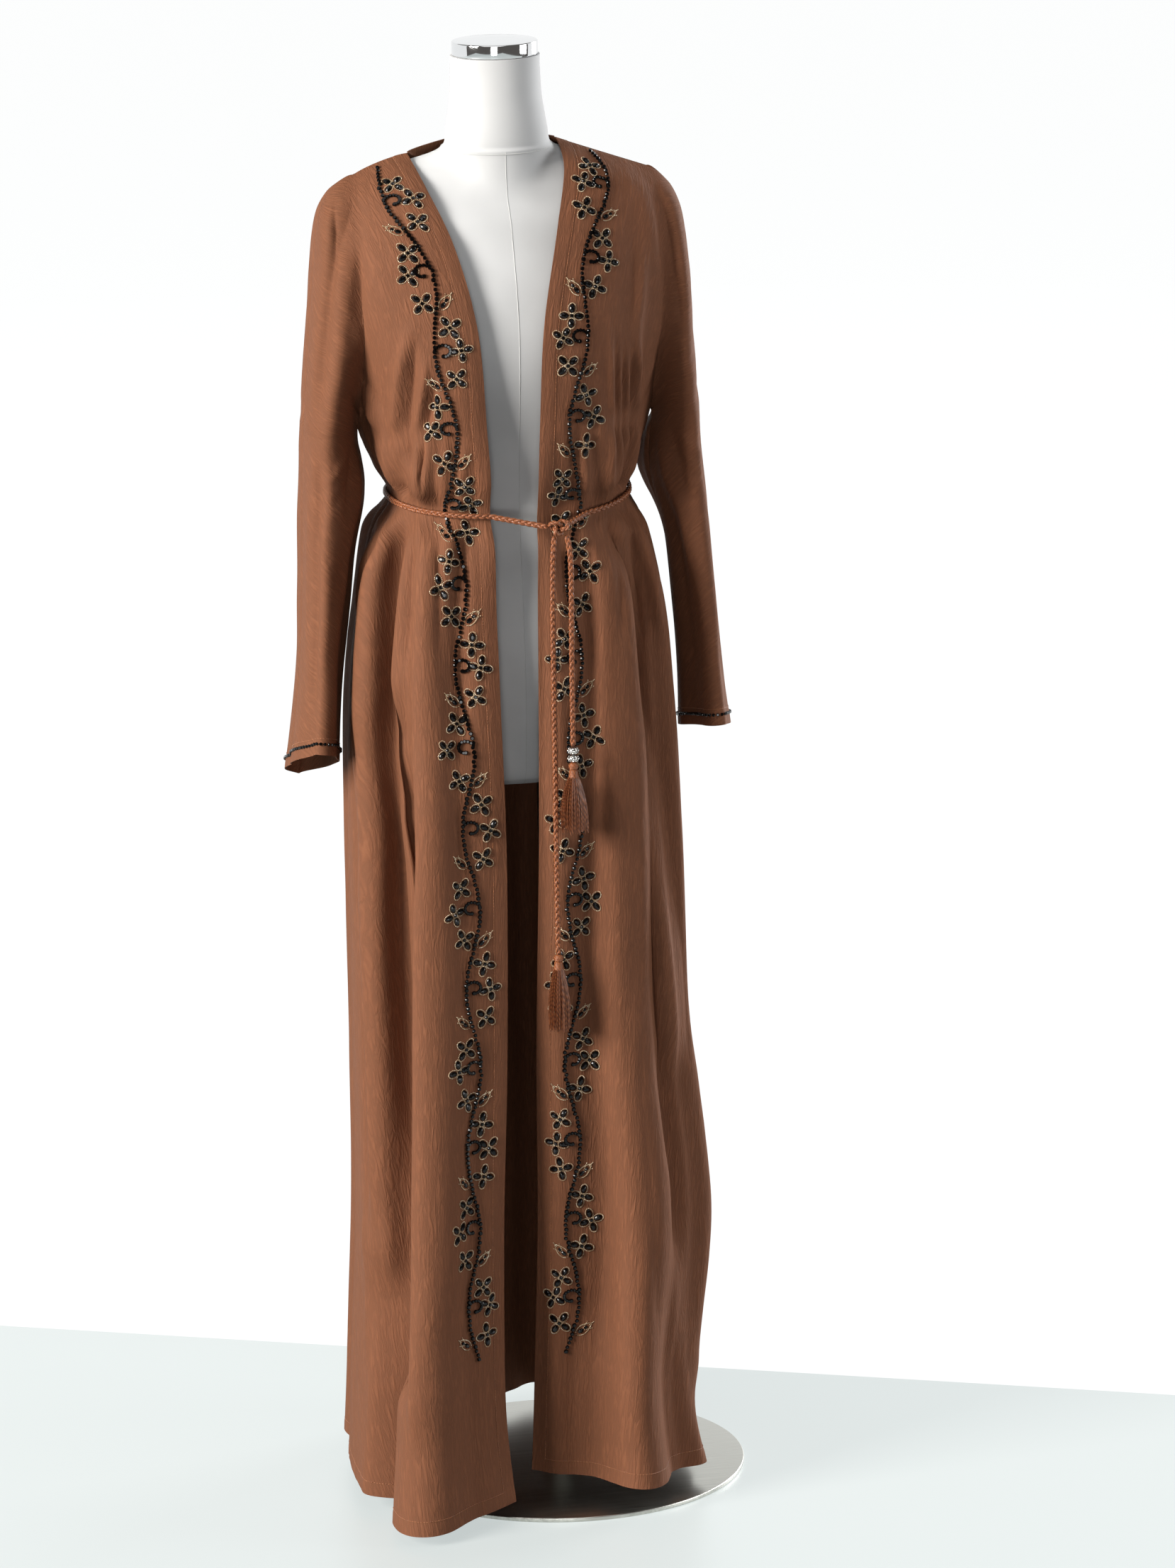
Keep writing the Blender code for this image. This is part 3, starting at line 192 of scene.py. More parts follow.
# Creases that show from a step away, laid out on the cloth. path: points in millimetres, first the
# distance from the front edge or the centre back, then the distance down from the shoulder. A trough has a
# negative height. near and far: its width on the side of the front edge or centre, and on the other side.
Crease = namedtuple("Crease", "path height near far")
DEEP_FOLD = ((124, 850), (130, 1000), (136, 1150), (143, 1300), (152, 1400))
CREASES_FRONT_RIGHT = (
    # from the shoulder to the underarm, and the blouse over the belt
    Crease(((57, 58), (80, 87), (107, 120), (136, 167), (160, 210), (182, 252), (212, 310)), 5.0, 48, 12),
    Crease(((64, 112), (98, 160), (140, 207), (170, 256)), 2.2, 30, 10),
    Crease(((90, 22), (118, 88), (168, 168), (214, 250), (262, 338)), -8.0, 24, 4),
    Crease(((72, 30), (92, 70), (128, 118), (160, 166)), -2.4, 9, 9),
    Crease(((56, 194), (64, 202), (78, 224), (92, 262), (106, 316), (126, 402)), 6.0, 9, 7),
    Crease(((64, 214), (72, 244), (80, 284), (88, 318), (102, 404)), -5.5, 4, 7),
    Crease(((54, 232), (62, 264), (70, 300), (80, 342), (90, 406)), 4.0, 5, 7),
    Crease(((48, 262), (54, 288), (64, 326), (75, 364), (80, 408)), -7.5, 3, 10),
    Crease(((160, 236), (152, 288), (146, 334), (148, 408)), 4.5, 13, 9),
    Crease(((184, 262), (158, 300), (132, 350)), 2.6, 5, 5),
    Crease(((190, 284), (168, 318), (142, 374)), -2.6, 4, 4),
    Crease(((176, 236), (146, 272), (120, 322)), -2.2, 5, 5),
    Crease(((196, 300), (176, 334), (156, 390)), 2.4, 4, 4),
    Crease(((128, 322), (118, 356), (112, 404)), -3.6, 4, 5),
    # below the belt: the deep fold beside the vine's panel, and pleats that fan from the waist
    Crease(((92, 430), (98, 500), (104, 600)), -6.0, 5, 9),
    Crease(((114, 600), (118, 680), *DEEP_FOLD), -15.0, 9, 34),
    Crease(((118, 680), *DEEP_FOLD), -13.0, 9, 36),
    Crease(((120, 750), *DEEP_FOLD), -14.0, 9, 38),
    Crease(((80, 430), (93, 560), (97, 700), (104, 850), (108, 1000), (112, 1150), (130, 1450)), 6.5, 42, 8),
    Crease(
        ((150, 436), (172, 500), (184, 600), (196, 700), (208, 850), (220, 1000), (232, 1150), (250, 1300)),
        15.0, 16, 34,
    ),
    Crease(((138, 436), (158, 482), (176, 540), (192, 640), (200, 720)), 3.5, 8, 8),
    Crease(((142, 434), (166, 482), (189, 540), (204, 620)), -5.5, 4, 8),
    Crease(
        ((160, 440), (182, 478), (206, 536), (224, 640), (232, 768), (226, 881), (234, 1038), (250, 1220)),
        4.5, 16, 5,
    ),
    Crease(
        ((172, 446), (196, 484), (222, 545), (240, 650), (248, 768), (242, 881), (250, 1038), (266, 1240)),
        -7.5, 5, 14,
    ),
    Crease(((166, 600), (168, 716), (172, 870), (180, 990)), 1.8, 8, 10),
    Crease(((196, 640), (186, 800), (190, 980), (204, 1180)), -3.2, 9, 14),
    Crease(((40, 470), (46, 640), (54, 800), (50, 1000)), -1.8, 10, 12),
    Crease(((60, 440), (64, 500), (66, 590)), -1.8, 4, 5),
    Crease(((30, 1000), (44, 1200), (70, 1380)), -2.6, 14, 18),
    Crease(((196, 1060), (206, 1240), (222, 1420)), 4.0, 14, 14),
    Crease(((100, 1240), (118, 1340), (130, 1440)), 3.0, 16, 12),
)
CREASES_FRONT_LEFT = (
    Crease(((80, 26), (104, 84), (128, 140), (156, 212), (176, 290)), 4.5, 16, 12),
    Crease(((100, 26), (136, 96), (168, 168), (200, 250)), -4.0, 9, 8),
    Crease(((102, 118), (112, 188), (116, 238), (130, 322)), 3.4, 8, 7),
    Crease(((88, 108), (98, 178), (104, 236)), -2.2, 7, 6),
    Crease(((76, 226), (82, 280), (86, 330), (90, 424)), 4.0, 5, 4),
    Crease(((84, 232), (91, 290), (96, 340), (102, 426)), -4.4, 4, 4),
    Crease(((89, 240), (97, 300), (104, 350), (113, 426)), 4.2, 5, 4),
    Crease(((96, 240), (103, 310), (112, 360), (125, 420)), -4.6, 4, 4),
    Crease(((101, 244), (111, 318), (122, 366), (137, 414)), 4.4, 5, 5),
    Crease(((108, 240), (119, 318), (133, 366), (148, 410)), -4.8, 4, 5),
    Crease(((116, 236), (130, 318), (146, 366), (160, 410)), 4.4, 6, 6),
    Crease(((170, 262), (146, 300), (128, 344)), 2.4, 5, 5),
    Crease(((176, 286), (156, 322), (140, 372)), -2.4, 4, 4),
    Crease(((56, 300), (60, 350), (64, 420)), -2.0, 5, 6),
    Crease(
        ((104, 452), (102, 547), (110, 662), (136, 771), (149, 865), (166, 960), (194, 1090)),
        10.0, 36, 13,
    ),
    Crease(
        ((128, 452), (130, 547), (138, 662), (164, 771), (178, 865), (196, 960), (220, 1090)),
        -5.0, 9, 16,
    ),
    Crease(((112, 446), (128, 500), (140, 610)), -4.6, 4, 6),
    Crease(((124, 446), (145, 495), (160, 600)), 4.4, 6, 7),
    Crease(((138, 446), (163, 492), (190, 580), (206, 700)), -5.0, 5, 8),
    Crease(((152, 448), (180, 500), (208, 600)), 4.0, 8, 9),
    Crease(((88, 446), (92, 510), (94, 600)), -3.2, 5, 6),
    Crease(((60, 450), (64, 520), (66, 640)), -2.4, 6, 8),
    Crease(((76, 640), (90, 893), (93, 1075), (107, 1286), (132, 1480)), 4.0, 24, 24),
    Crease(((52, 700), (56, 900), (60, 1120)), -2.0, 12, 12),
    Crease(((118, 1000), (130, 1160), (158, 1380)), -3.6, 12, 16),
    Crease(((176, 1120), (190, 1260), (214, 1430)), 3.4, 16, 16),
)
CREASES_BACK = (
    Crease(((-58, 50), (-70, 180), (-82, 330)), 2.8, 13, 13),
    Crease(((-100, 40), (-130, 150), (-160, 280)), -3.4, 10, 12),
    Crease(((-136, 50), (-164, 150), (-190, 250)), 3.4, 12, 10),
    Crease(((26, 60), (30, 200), (24, 370)), -2.4, 12, 14),
    Crease(((70, 50), (84, 180), (94, 330)), 2.8, 13, 13),
    Crease(((112, 40), (140, 150), (168, 280)), -3.4, 12, 10),
    Crease(((-190, 262), (-150, 300), (-112, 360)), 2.6, 6, 6),
    Crease(((-196, 284), (-160, 320), (-130, 366)), -2.6, 5, 5),
    Crease(((190, 262), (152, 300), (116, 352)), -2.6, 6, 6),
    Crease(((196, 286), (164, 322), (132, 366)), 2.6, 5, 5),
    Crease(((-96, 268), (-102, 340), (-104, 380)), -3.6, 5, 5),
    Crease(((-60, 250), (-64, 320), (-62, 382)), 3.4, 6, 5),
    Crease(((-18, 280), (-16, 330), (-18, 384)), -3.2, 5, 6),
    Crease(((46, 262), (50, 320), (50, 382)), 3.6, 5, 6),
    Crease(((92, 276), (98, 340), (100, 380)), -3.6, 5, 5),
    Crease(((-112, 414), (-124, 500), (-136, 700), (-142, 960)), 5.5, 12, 8),
    Crease(((-130, 414), (-146, 500), (-160, 700)), -5.0, 5, 9),
    Crease(((-72, 414), (-78, 520), (-86, 760)), -5.5, 7, 10),
    Crease(((-50, 414), (-52, 520), (-56, 660)), 4.0, 7, 7),
    Crease(((-16, 414), (-18, 540), (-14, 840)), 4.6, 9, 10),
    Crease(((14, 414), (18, 500), (22, 640)), -4.2, 5, 8),
    Crease(((48, 414), (54, 520), (64, 720)), -5.0, 6, 10),
    Crease(((76, 414), (86, 520), (96, 700)), 4.2, 8, 7),
    Crease(((104, 414), (114, 520), (122, 740), (124, 980)), 5.0, 12, 8),
    Crease(((128, 414), (144, 500), (160, 640)), -4.4, 5, 8),
    Crease(((-150, 860), (-160, 1100), (-172, 1400)), -4.2, 15, 18),
    Crease(((-44, 900), (-50, 1150), (-54, 1420)), 3.8, 16, 18),
    Crease(((78, 860), (88, 1100), (98, 1380)), -4.4, 16, 16),
    Crease(((162, 900), (178, 1150), (194, 1400)), 3.8, 16, 18),
)
# On the sleeves the distance across is from the underarm seam, and down is from the underarm.
CREASES_SLEEVE = (
    Crease(((96, -4), (100, 80), (95, 180), (96, 270), (98, 320)), -5.0, 13, 4),
    Crease(((84, 10), (86, 90), (82, 200), (84, 290)), 2.4, 8, 7),
    Crease(((22, 10), (32, 60), (46, 120), (54, 210)), 3.4, 9, 9),
    Crease(((40, 4), (54, 50), (66, 110)), -2.6, 7, 7),
    Crease(((14, 60), (26, 120), (34, 220), (38, 320)), -2.6, 9, 10),
    Crease(((58, 160), (64, 240), (66, 326)), 2.2, 10, 10),
    Crease(((56, 16), (76, 40), (92, 52)), 1.6, 5, 5),
    Crease(((50, 40), (72, 66), (90, 80)), -1.6, 5, 5),
    Crease(((116, 30), (118, 140), (114, 260)), 1.8, 8, 8),
)

# The covered torso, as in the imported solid.
TorsoRing = namedtuple("TorsoRing", "height half_width front back power")
TORSO_X = -0.003
TORSO = (
    TorsoRing(0.800, 0.120, 0.066, 0.080, 2.0),
    TorsoRing(0.806, 0.142, 0.082, 0.098, 2.1),
    TorsoRing(0.822, 0.155, 0.091, 0.110, 2.2),
    TorsoRing(0.890, 0.162, 0.098, 0.120, 2.3),
    TorsoRing(0.960, 0.157, 0.098, 0.116, 2.3),
    TorsoRing(1.030, 0.137, 0.092, 0.096, 2.3),
    TorsoRing(1.105, 0.117, 0.086, 0.082, 2.2),
    TorsoRing(1.170, 0.123, 0.092, 0.086, 2.2),
    TorsoRing(1.240, 0.134, 0.104, 0.092, 2.2),
    TorsoRing(1.290, 0.140, 0.108, 0.096, 2.2),
    TorsoRing(1.340, 0.144, 0.100, 0.096, 2.2),
    TorsoRing(1.385, 0.152, 0.084, 0.090, 2.1),
    TorsoRing(1.415, 0.160, 0.073, 0.082, 2.0),
    TorsoRing(1.4350, 0.162, 0.058, 0.068, 1.7),
    TorsoRing(1.4520, 0.156, 0.050, 0.058, 1.35),
    TorsoRing(1.4640, 0.141, 0.045, 0.050, 1.2),
    TorsoRing(1.4717, 0.120, 0.041, 0.044, 1.15),
    TorsoRing(1.4780, 0.092, 0.041, 0.040, 1.25),
    TorsoRing(1.4838, 0.070, 0.045, 0.041, 1.55),
    TorsoRing(1.4905, 0.0575, 0.0490, 0.0470, 2.0),
    TorsoRing(1.508, 0.0545, 0.0500, 0.0530, 2.0),
    TorsoRing(1.540, 0.0495, 0.0485, 0.0500, 2.0),
    TorsoRing(1.570, 0.0480, 0.0475, 0.0485, 2.0),
    TorsoRing(1.585, 0.0480, 0.0475, 0.0480, 2.0),
)

# The belt's hanging ends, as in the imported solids, from the form's axis.
LONG_END_ROUTE = (
    (0.0240, -0.1400, 1.0871),
    (0.0210, -0.1440, 1.060),
    (0.0195, -0.1450, 1.000),
    (0.0190, -0.1450, 0.920),
    (0.0185, -0.1455, 0.840),
    (0.0180, -0.1460, 0.760),
    (0.0175, -0.1465, 0.680),
    (0.0175, -0.1465, 0.6280),
)
SHORT_END_ROUTE = (
    (0.0375, -0.1400, 1.0876),
    (0.0395, -0.1475, 1.062),
    (0.0390, -0.1495, 1.010),
    (0.0380, -0.1510, 0.950),
    (0.0375, -0.1520, 0.900),
    (0.0370, -0.1525, 0.8590),
)


# Small arithmetic shared by the pieces
def smooth(value):
    value = np.clip(value, 0.0, 1.0)
    return value * value * (3 - 2 * value)


def catmull(chain, at):
    """Rows of points at fractional indices along a chain of rows."""
    chain = np.asarray(chain, float)
    at = np.atleast_1d(np.asarray(at, float))
    last = len(chain) - 1
    k = np.clip(at.astype(int), 0, last - 1)
    t = (at - k).reshape((-1,) + (1,) * (chain.ndim - 1))
    a, b = chain[np.maximum(k - 1, 0)], chain[k]
    c, d = chain[k + 1], chain[np.minimum(k + 2, last)]
    return 0.5 * (
        2 * b + (c - a) * t + (2 * a - 5 * b + 4 * c - d) * t**2 + (3 * b - a - 3 * c + d) * t**3
    )


def bezier(a, b, c, d, t):
    t = np.asarray(t)[:, None]
    s = 1 - t
    return a * s**3 + b * (3 * s * s * t) + c * (3 * s * t * t) + d * t**3


def squared_curve(start, corner, end, pull, shares):
    start, corner, end = (np.array(p, float) for p in (start, corner, end))
    return bezier(start, start + (corner - start) * pull, end + (corner - end) * pull, end, shares)


def lattice_noise(u, v, seed):
    """Smooth noise between -1 and 1, one lump a unit."""
    table = np.random.RandomState(seed).uniform(-1, 1, (128, 128))
    ku, kv = np.floor(u).astype(int), np.floor(v).astype(int)
    fu, fv = smooth(u - ku), smooth(v - kv)
    corner = [[table[(ku + i) % 128, (kv + j) % 128] for j in (0, 1)] for i in (0, 1)]
    low = corner[0][0] * (1 - fu) + corner[1][0] * fu
    high = corner[0][1] * (1 - fu) + corner[1][1] * fu
    return low * (1 - fv) + high * fv


def unit(vectors):
    return vectors / np.maximum(np.linalg.norm(vectors, axis=-1, keepdims=True), 1e-12)


def round_points(radius, count, shift=0.0):
    """Points on a circle, as (x, y) pairs. shift: in steps."""
    angles = [2 * math.pi * (k + shift) / count for k in range(count)]
    return [(radius * math.cos(angle), radius * math.sin(angle)) for angle in angles]


def new_piece(name, points, faces, material, sharp=None, facets=False):
    """A mesh object. sharp: the angle in degrees from which an edge stays hard. facets: all faces flat."""
    mesh = bpy.data.meshes.new(name)
    mesh.from_pydata(np.asarray(points, float).tolist(), [], faces)
    mesh.materials.append(material)
    if facets:
        mesh.shade_flat()
    else:
        mesh.shade_smooth()
    if sharp:
        mesh.set_sharp_from_angle(angle=math.radians(sharp))
    piece = bpy.data.objects.new(name, mesh)
    bpy.context.scene.collection.objects.link(piece)
    return piece


def spun(profile, sides, centre=(0.0, 0.0)):
    """Points and faces turned from radius and height pairs, top to bottom, closed at both ends."""
    points = []
    for radius, height in profile:
        points += [(centre[0] + x, centre[1] + y, height) for x, y in round_points(radius, sides)]
    faces = []
    for ring in range(len(profile) - 1):
        for k in range(sides):
            a, b = ring * sides + k, ring * sides + (k + 1) % sides
            faces.append((a, a + sides, b + sides, b))
    last = (len(profile) - 1) * sides
    faces.append(tuple(range(sides)))
    faces.append(tuple(range(last, last + sides))[::-1])
    return points, faces


# The cloth's surface
def front_rows(table, shares):
    rows = []
    for row in table:
        start = (row.edge_x, row.edge_y, row.edge_z)
        corner = (row.corner_x, row.corner_y, 0.5 * (row.edge_z + row.side_z))
        end = (row.side_x, row.side_y, row.side_z)
        line = squared_curve(start, corner, end, row.pull, shares)
        line[:, 2] += row.sag * 4 * shares * (1 - shares)
        rows.append(line)
    return np.array(rows)


def back_rows(table, shares):
    """Half of the back, from its centre to the side that the front's table names."""
    rows = []
    for k, (row, seam) in enumerate(zip(BACK, table)):
        middle = (0.0, row.centre_y, row.centre_z)
        if k == 0:
            high = (seam.edge_x, 0.0, seam.edge_z)
            neck = squared_curve(
                middle, (seam.edge_x, row.centre_y, row.centre_z), high, 0.18, shares / NECK_SHARE
            )
            shoulder = front_rows((seam,), np.clip((shares - NECK_SHARE) / (1 - NECK_SHARE), 0, 1))[0]
            rows.append(np.where((shares < NECK_SHARE)[:, None], neck, shoulder))
            continue
        corner = (seam.side_x * row.corner_share, row.corner_y, 0.5 * (row.centre_z + seam.side_z))
        end = (seam.side_x, row.side_y, seam.side_z)
        rows.append(squared_curve(middle, corner, end, row.pull, shares))
    return np.array(rows)


def sleeve_rows(sleeve, inners, side, turns):
    """Half of the sleeve's tube, from its inner fold or seam to the overarm seam."""
    rows = []
    for k, row in enumerate(sleeve):
        inner = inners[k] if k <= UNDERARM else (row.inner_x, 0.0, row.outer_z)
        reach = getattr(row, side)
        near = (inner[0] + (row.outer_x - inner[0]) * SLEEVE_LEAN, reach * SLEEVE_PULL, inner[2])
        far = (row.outer_x, reach, row.outer_z)
        outer = (row.outer_x, 0.0, row.outer_z)
        line = bezier(*(np.array(p, float) for p in (inner, near, far, outer)), turns)
        line[:, 2] += row.slope * line[:, 1]
        rows.append(line)
    return np.array(rows)


def fold_field(folds, stations, places):
    station = np.asarray(stations, float)[:, None]
    place = np.asarray(places, float)[None, :]
    total = np.zeros((len(stations), len(places)))
    for fold in folds:
        along = (station - fold.start) / (fold.end - fold.start)
        middle = fold.place_start + (fold.place_end - fold.place_start) * along
        reach = fold.reach_start + (fold.reach_end - fold.reach_start) * along
        width = fold.width_start + (fold.width_end - fold.width_start) * along
        fade = smooth((station - fold.start) / FOLD_FADE_IN)
        if fold.end < HEM_STATION:
            fade = fade * smooth((fold.end - station) / FOLD_FADE_OUT)
        offset = np.clip((place - middle) / width, -1, 1)
        total += reach * fade * np.cos(0.5 * np.pi * offset) ** 2 * ((along >= 0) & (along <= 1))
    return total


def gather_field(stations, places):
    away = np.abs(np.asarray(stations, float)[:, None] - BELT_STATION)
    strength = BELT_CREST + GATHER_CREST * smooth(away / GATHER_RISE)
    strength = strength * (1 - smooth((away - GATHER_HOLD) / GATHER_FADE))
    return strength * 0.5 * (1 + np.cos(2 * np.pi * GATHERS * np.asarray(places)[None, :]))


def crease_field(creases, u, v):
    """Height of the creases at each place, in metres. Troughs are sharper than ridges."""
    total = np.zeros_like(u)
    for crease in creases:
        path = np.array(crease.path) * MM
        fine = catmull(path, np.linspace(0, len(path) - 1, 60))
        course = np.interp(v, fine[:, 1], fine[:, 0])
        slope = np.interp(v, fine[:, 1], np.gradient(fine[:, 0], fine[:, 1]))
        across = (u - course) / np.sqrt(1 + slope**2)
        side = np.where(u >= 0, 1, -1) * across if path[0, 0] < 0 else across
        width = np.where(side < 0, crease.near, crease.far) * MM
        length = fine[-1, 1] - fine[0, 1]
        along = (v - fine[0, 1]) / length
        end = min(0.3, 0.07 / length)
        fade = smooth(along / end) * smooth((1 - along) / end)
        power = 1.4 if crease.height < 0 else 2.0
        total += crease.height * MM * fade * np.exp(-(np.abs(across / width) ** power))
    return total


def drape_field(u, v, seed):
    """The long soft waves and short crinkles of hanging crepe, in metres."""
    lean = 0.010 * lattice_noise(u / 0.15, v / 0.30, seed + 9)
    long_waves = lattice_noise((u + lean) / 0.024, v / 0.32, seed)
    short_waves = lattice_noise((u + lean) / 0.011, v / 0.10, seed + 1)
    crinkles = lattice_noise((u + lean) / 0.0062, v / 0.042, seed + 2)
    return (0.9 * long_waves + 0.30 * short_waves + 0.16 * crinkles) * MM


def grid_normals(points, sign):
    down = np.gradient(points, axis=0)
    across = np.gradient(points, axis=1)
    return unit(np.cross(across, down)) * sign


def row_lengths(points):
    steps = np.linalg.norm(np.diff(points, axis=1), axis=2)
    return np.concatenate([np.zeros((len(points), 1)), np.cumsum(steps, axis=1)], axis=1)


def column_lengths(line):
    steps = np.linalg.norm(np.diff(line, axis=0), axis=1)
    return np.concatenate([[0.0], np.cumsum(steps)])


def plan_outward(points, sign):
    """The level direction that leaves the cloth, from the columns beside each point."""
    across = np.gradient(points, axis=1)
    side = np.stack([across[..., 1], -across[..., 0], np.zeros(across.shape[:2])], axis=-1)
    return unit(side) * sign


def soften_rows(points, places, middle, widths):
    """Rounds the valley between body and sleeve: each row is smoothed near its middle column."""
    kernel = np.exp(-0.5 * (np.arange(-6, 7) / 3.2) ** 2)
    kernel /= kernel.sum()
    near = np.exp(-(((places[None, :] - middle) / np.maximum(widths[:, None], 1e-3)) ** 2))[..., None]
    for _ in range(10):
        padded = np.pad(points, ((0, 0), (6, 6), (0, 0)), mode="edge")
        smoothed = sum(w * padded[:, k : k + points.shape[1]] for k, w in enumerate(kernel))
        points = points + (smoothed - points) * near
    return points


UPPER = np.linspace(0.0, UNDERARM, 80)
LOWER = np.linspace(UNDERARM, HEM_STATION, 190)
SLEEVE_DOWN = np.linspace(UNDERARM, 8, 66)
FRONT_SHARES = np.concatenate([np.linspace(0, 0.12, 18, endpoint=False), np.linspace(0.12, 1, 122)])
SLEEVE_TURNS = np.linspace(0, 1, 41)
BACK_SHARES = np.concatenate(
    [np.linspace(0, NECK_SHARE, 16, endpoint=False), np.linspace(NECK_SHARE, 1, 46)]
)
EDGE_FOLD = 16 * MM  # the turned front edge, up to its stitch line
HEM_FOLD = 15 * MM
CUFF_FOLD = 18 * MM
CUFF_WAVE = 6 * MM

# How the waves fade from row to row: where body and sleeve part, at the shoulder seam, and under the belt
PART_UPPER = smooth((UNDERARM - UPPER) / 0.25)[:, None]
PART_LOWER = smooth((LOWER - UNDERARM) / 0.35)[:, None]
PART_ARM = smooth((SLEEVE_DOWN - UNDERARM) / 0.35)[:, None]
NEAR_TOP = smooth(UPPER / 0.4)[:, None]
BELT_CALM = 1 - 0.75 * np.exp(-(((LOWER - BELT_STATION) / 0.25) ** 2))[:, None]
SLEEVE_BLEND = 0.35  # the share of the sleeve's width over which the crepe's slant sets in


class Cloth:
    """A stretch of cloth as a grid of points that beads and stitches are laid on."""

    def __init__(self, points, sign, drop):
        self.points = points
        self.u = row_lengths(points)
        self.v = drop
        self.normals = grid_normals(points, sign)

    def at(self, u, v):
        """Point, direction of growing u, downward direction and outward normal."""
        row = float(np.interp(v, self.v, np.arange(len(self.v))))
        r = min(int(row), len(self.v) - 2)
        share = row - r
        found = []
        for k, weight in ((r, 1 - share), (r + 1, share)):
            column = float(np.interp(u, self.u[k], np.arange(self.u.shape[1])))
            c = min(int(column), self.u.shape[1] - 2)
            f = column - c
            line = self.points[k]
            normal = self.normals[k, c] * (1 - f) + self.normals[k, c + 1] * f
            found.append((line[c] * (1 - f) + line[c + 1] * f, line[c + 1] - line[c], normal, weight))
        place = sum(p * w for p, _, _, w in found)
        across = unit(sum(a * w for _, a, _, w in found))
        normal = unit(sum(n * w for _, _, n, w in found))
        down = unit(found[1][0] - found[0][0])
        down = unit(down - normal * float(down @ normal))
        across = unit(across - normal * float(across @ normal) - down * float(across @ down))
        return place, across, down, normal


def dress_edges(points, normals, u_from_edge, v_to_hem):
    """Turned edges: two layers up to the stitch line, and the line pulled in."""
    height = np.zeros(points.shape[:2])
    for distance, width in ((u_from_edge, EDGE_FOLD), (v_to_hem, HEM_FOLD)):
        if distance is None:
            continue
        height += 0.45 * MM * (1 - smooth((distance - width) / (1.5 * MM)))
        height -= 0.5 * MM * np.exp(-(((distance - width) / (1.6 * MM)) ** 2))
    return points + normals * height[..., None]


def part_share(part):
    """What is left of the waves where body and sleeve part."""
    return 0.35 + 0.65 * part


def seam_dip(distance):
    """How far cloth rolls in towards a seam."""
    return -1.3 * MM * np.exp(-((distance / (4.0 * MM)) ** 2))


def keep_off_seam(points, side):
    """Cloth stays on its own side of the seams' plane."""
    limit = 0.5 * SEAM_GAP
    points[..., 1] = np.minimum(points[..., 1], -limit) if side < 0 else np.maximum(points[..., 1], limit)
    return points


def shell(name, grids, joins, sign, material, uvs):
    """A closed thin shell from grids that share edge vertices. joins: the map that weld_grids made.
    uvs: for each vertex the distance across, the distance down, and 1 on a sleeve."""
    points = np.concatenate([g.reshape(-1, 3) for g in grids])
    cloth_uv = np.concatenate([uv.reshape(-1, 3) for uv in uvs])
    quads = []
    start = 0
    for g in grids:
        rows, columns = g.shape[:2]
        index = start + np.arange(rows * columns).reshape(rows, columns)
        a, b = index[:-1, :-1], index[:-1, 1:]
        c, d = index[1:, 1:], index[1:, :-1]
        quads.append(np.stack([a, b, c, d], axis=-1).reshape(-1, 4))
        start += rows * columns
    quads = joins[np.concatenate(quads)]
    if sign < 0:
        quads = quads[:, ::-1]
    used, compact = np.unique(quads, return_inverse=True)
    quads = compact.reshape(quads.shape)
    points, cloth_uv = points[used], cloth_uv[used]
    corners = points[quads]
    face_normals = unit(np.cross(corners[:, 2] - corners[:, 0], corners[:, 3] - corners[:, 1]))
    normals = np.zeros_like(points)
    for k in range(4):
        np.add.at(normals, quads[:, k], face_normals)
    normals = unit(normals)
    count = len(points)
    edges = np.concatenate([quads[:, [k, (k + 1) % 4]] for k in range(4)])
    keys = edges[:, 0].astype(np.int64) * count + edges[:, 1]
    reverse = edges[:, 1].astype(np.int64) * count + edges[:, 0]
    rim = edges[~np.isin(keys, reverse)]
    rims = np.stack([rim[:, 1], rim[:, 0], rim[:, 0] + count, rim[:, 1] + count], axis=-1)
    faces = np.concatenate([quads, quads[:, ::-1] + count, rims])
    everything = np.concatenate([points, points - normals * CREPE])
    everything[:, 0] += FORM_X
    piece = new_piece(name, everything, faces.tolist(), material, sharp=70)
    place = piece.data.attributes.new("cloth_place", "FLOAT_VECTOR", "POINT")
    place.data.foreach_set("vector", np.concatenate([cloth_uv, cloth_uv]).ravel())
    return piece


def weld_grids(grids, pairs):
    """Index map in which a grid's first row is a stretch of the last row of the first grid.
    pairs: the columns of that stretch, and which grid hangs from it."""
    starts = np.cumsum([0] + [g.shape[0] * g.shape[1] for g in grids])
    joins = np.arange(starts[-1])
    last_row = joins[starts[1] - grids[0].shape[1] : starts[1]].copy()
    for columns, hanging in pairs:
        start = starts[hanging]
        joins[start : start + grids[hanging].shape[1]] = last_row[columns]
    return joins


def sleeve_sag(points, turns, outward_side, drop, back):
    """The loose cloth under the arm leans in towards the waist, most on the back half of the left sleeve."""
    low = np.exp(-(((drop - 0.068) / 0.045) ** 2)) * smooth(drop / 0.03)
    shift = (0.011 * low)[:, None] * (1 - turns)[None, :] ** 1.5
    if back and outward_side > 0:
        wide = np.exp(-(((drop - 0.060) / 0.060) ** 2)) * smooth(drop / 0.03)
        shift = shift + (0.018 * wide)[:, None] * np.sin(np.pi * turns**0.7)[None, :]
    moved = points.copy()
    moved[..., 0] -= outward_side * shift
    return moved


def cuff_flutes(turns, stations, depth, seed):
    """The cuff's wavy edge."""
    down = smooth((np.asarray(stations)[:, None] - 6.6) / 1.4)
    angle = np.asarray(turns)[None, :] * math.pi
    wave = np.sin(3 * angle + seed) * np.sin(angle) ** 0.7
    return depth * down * wave


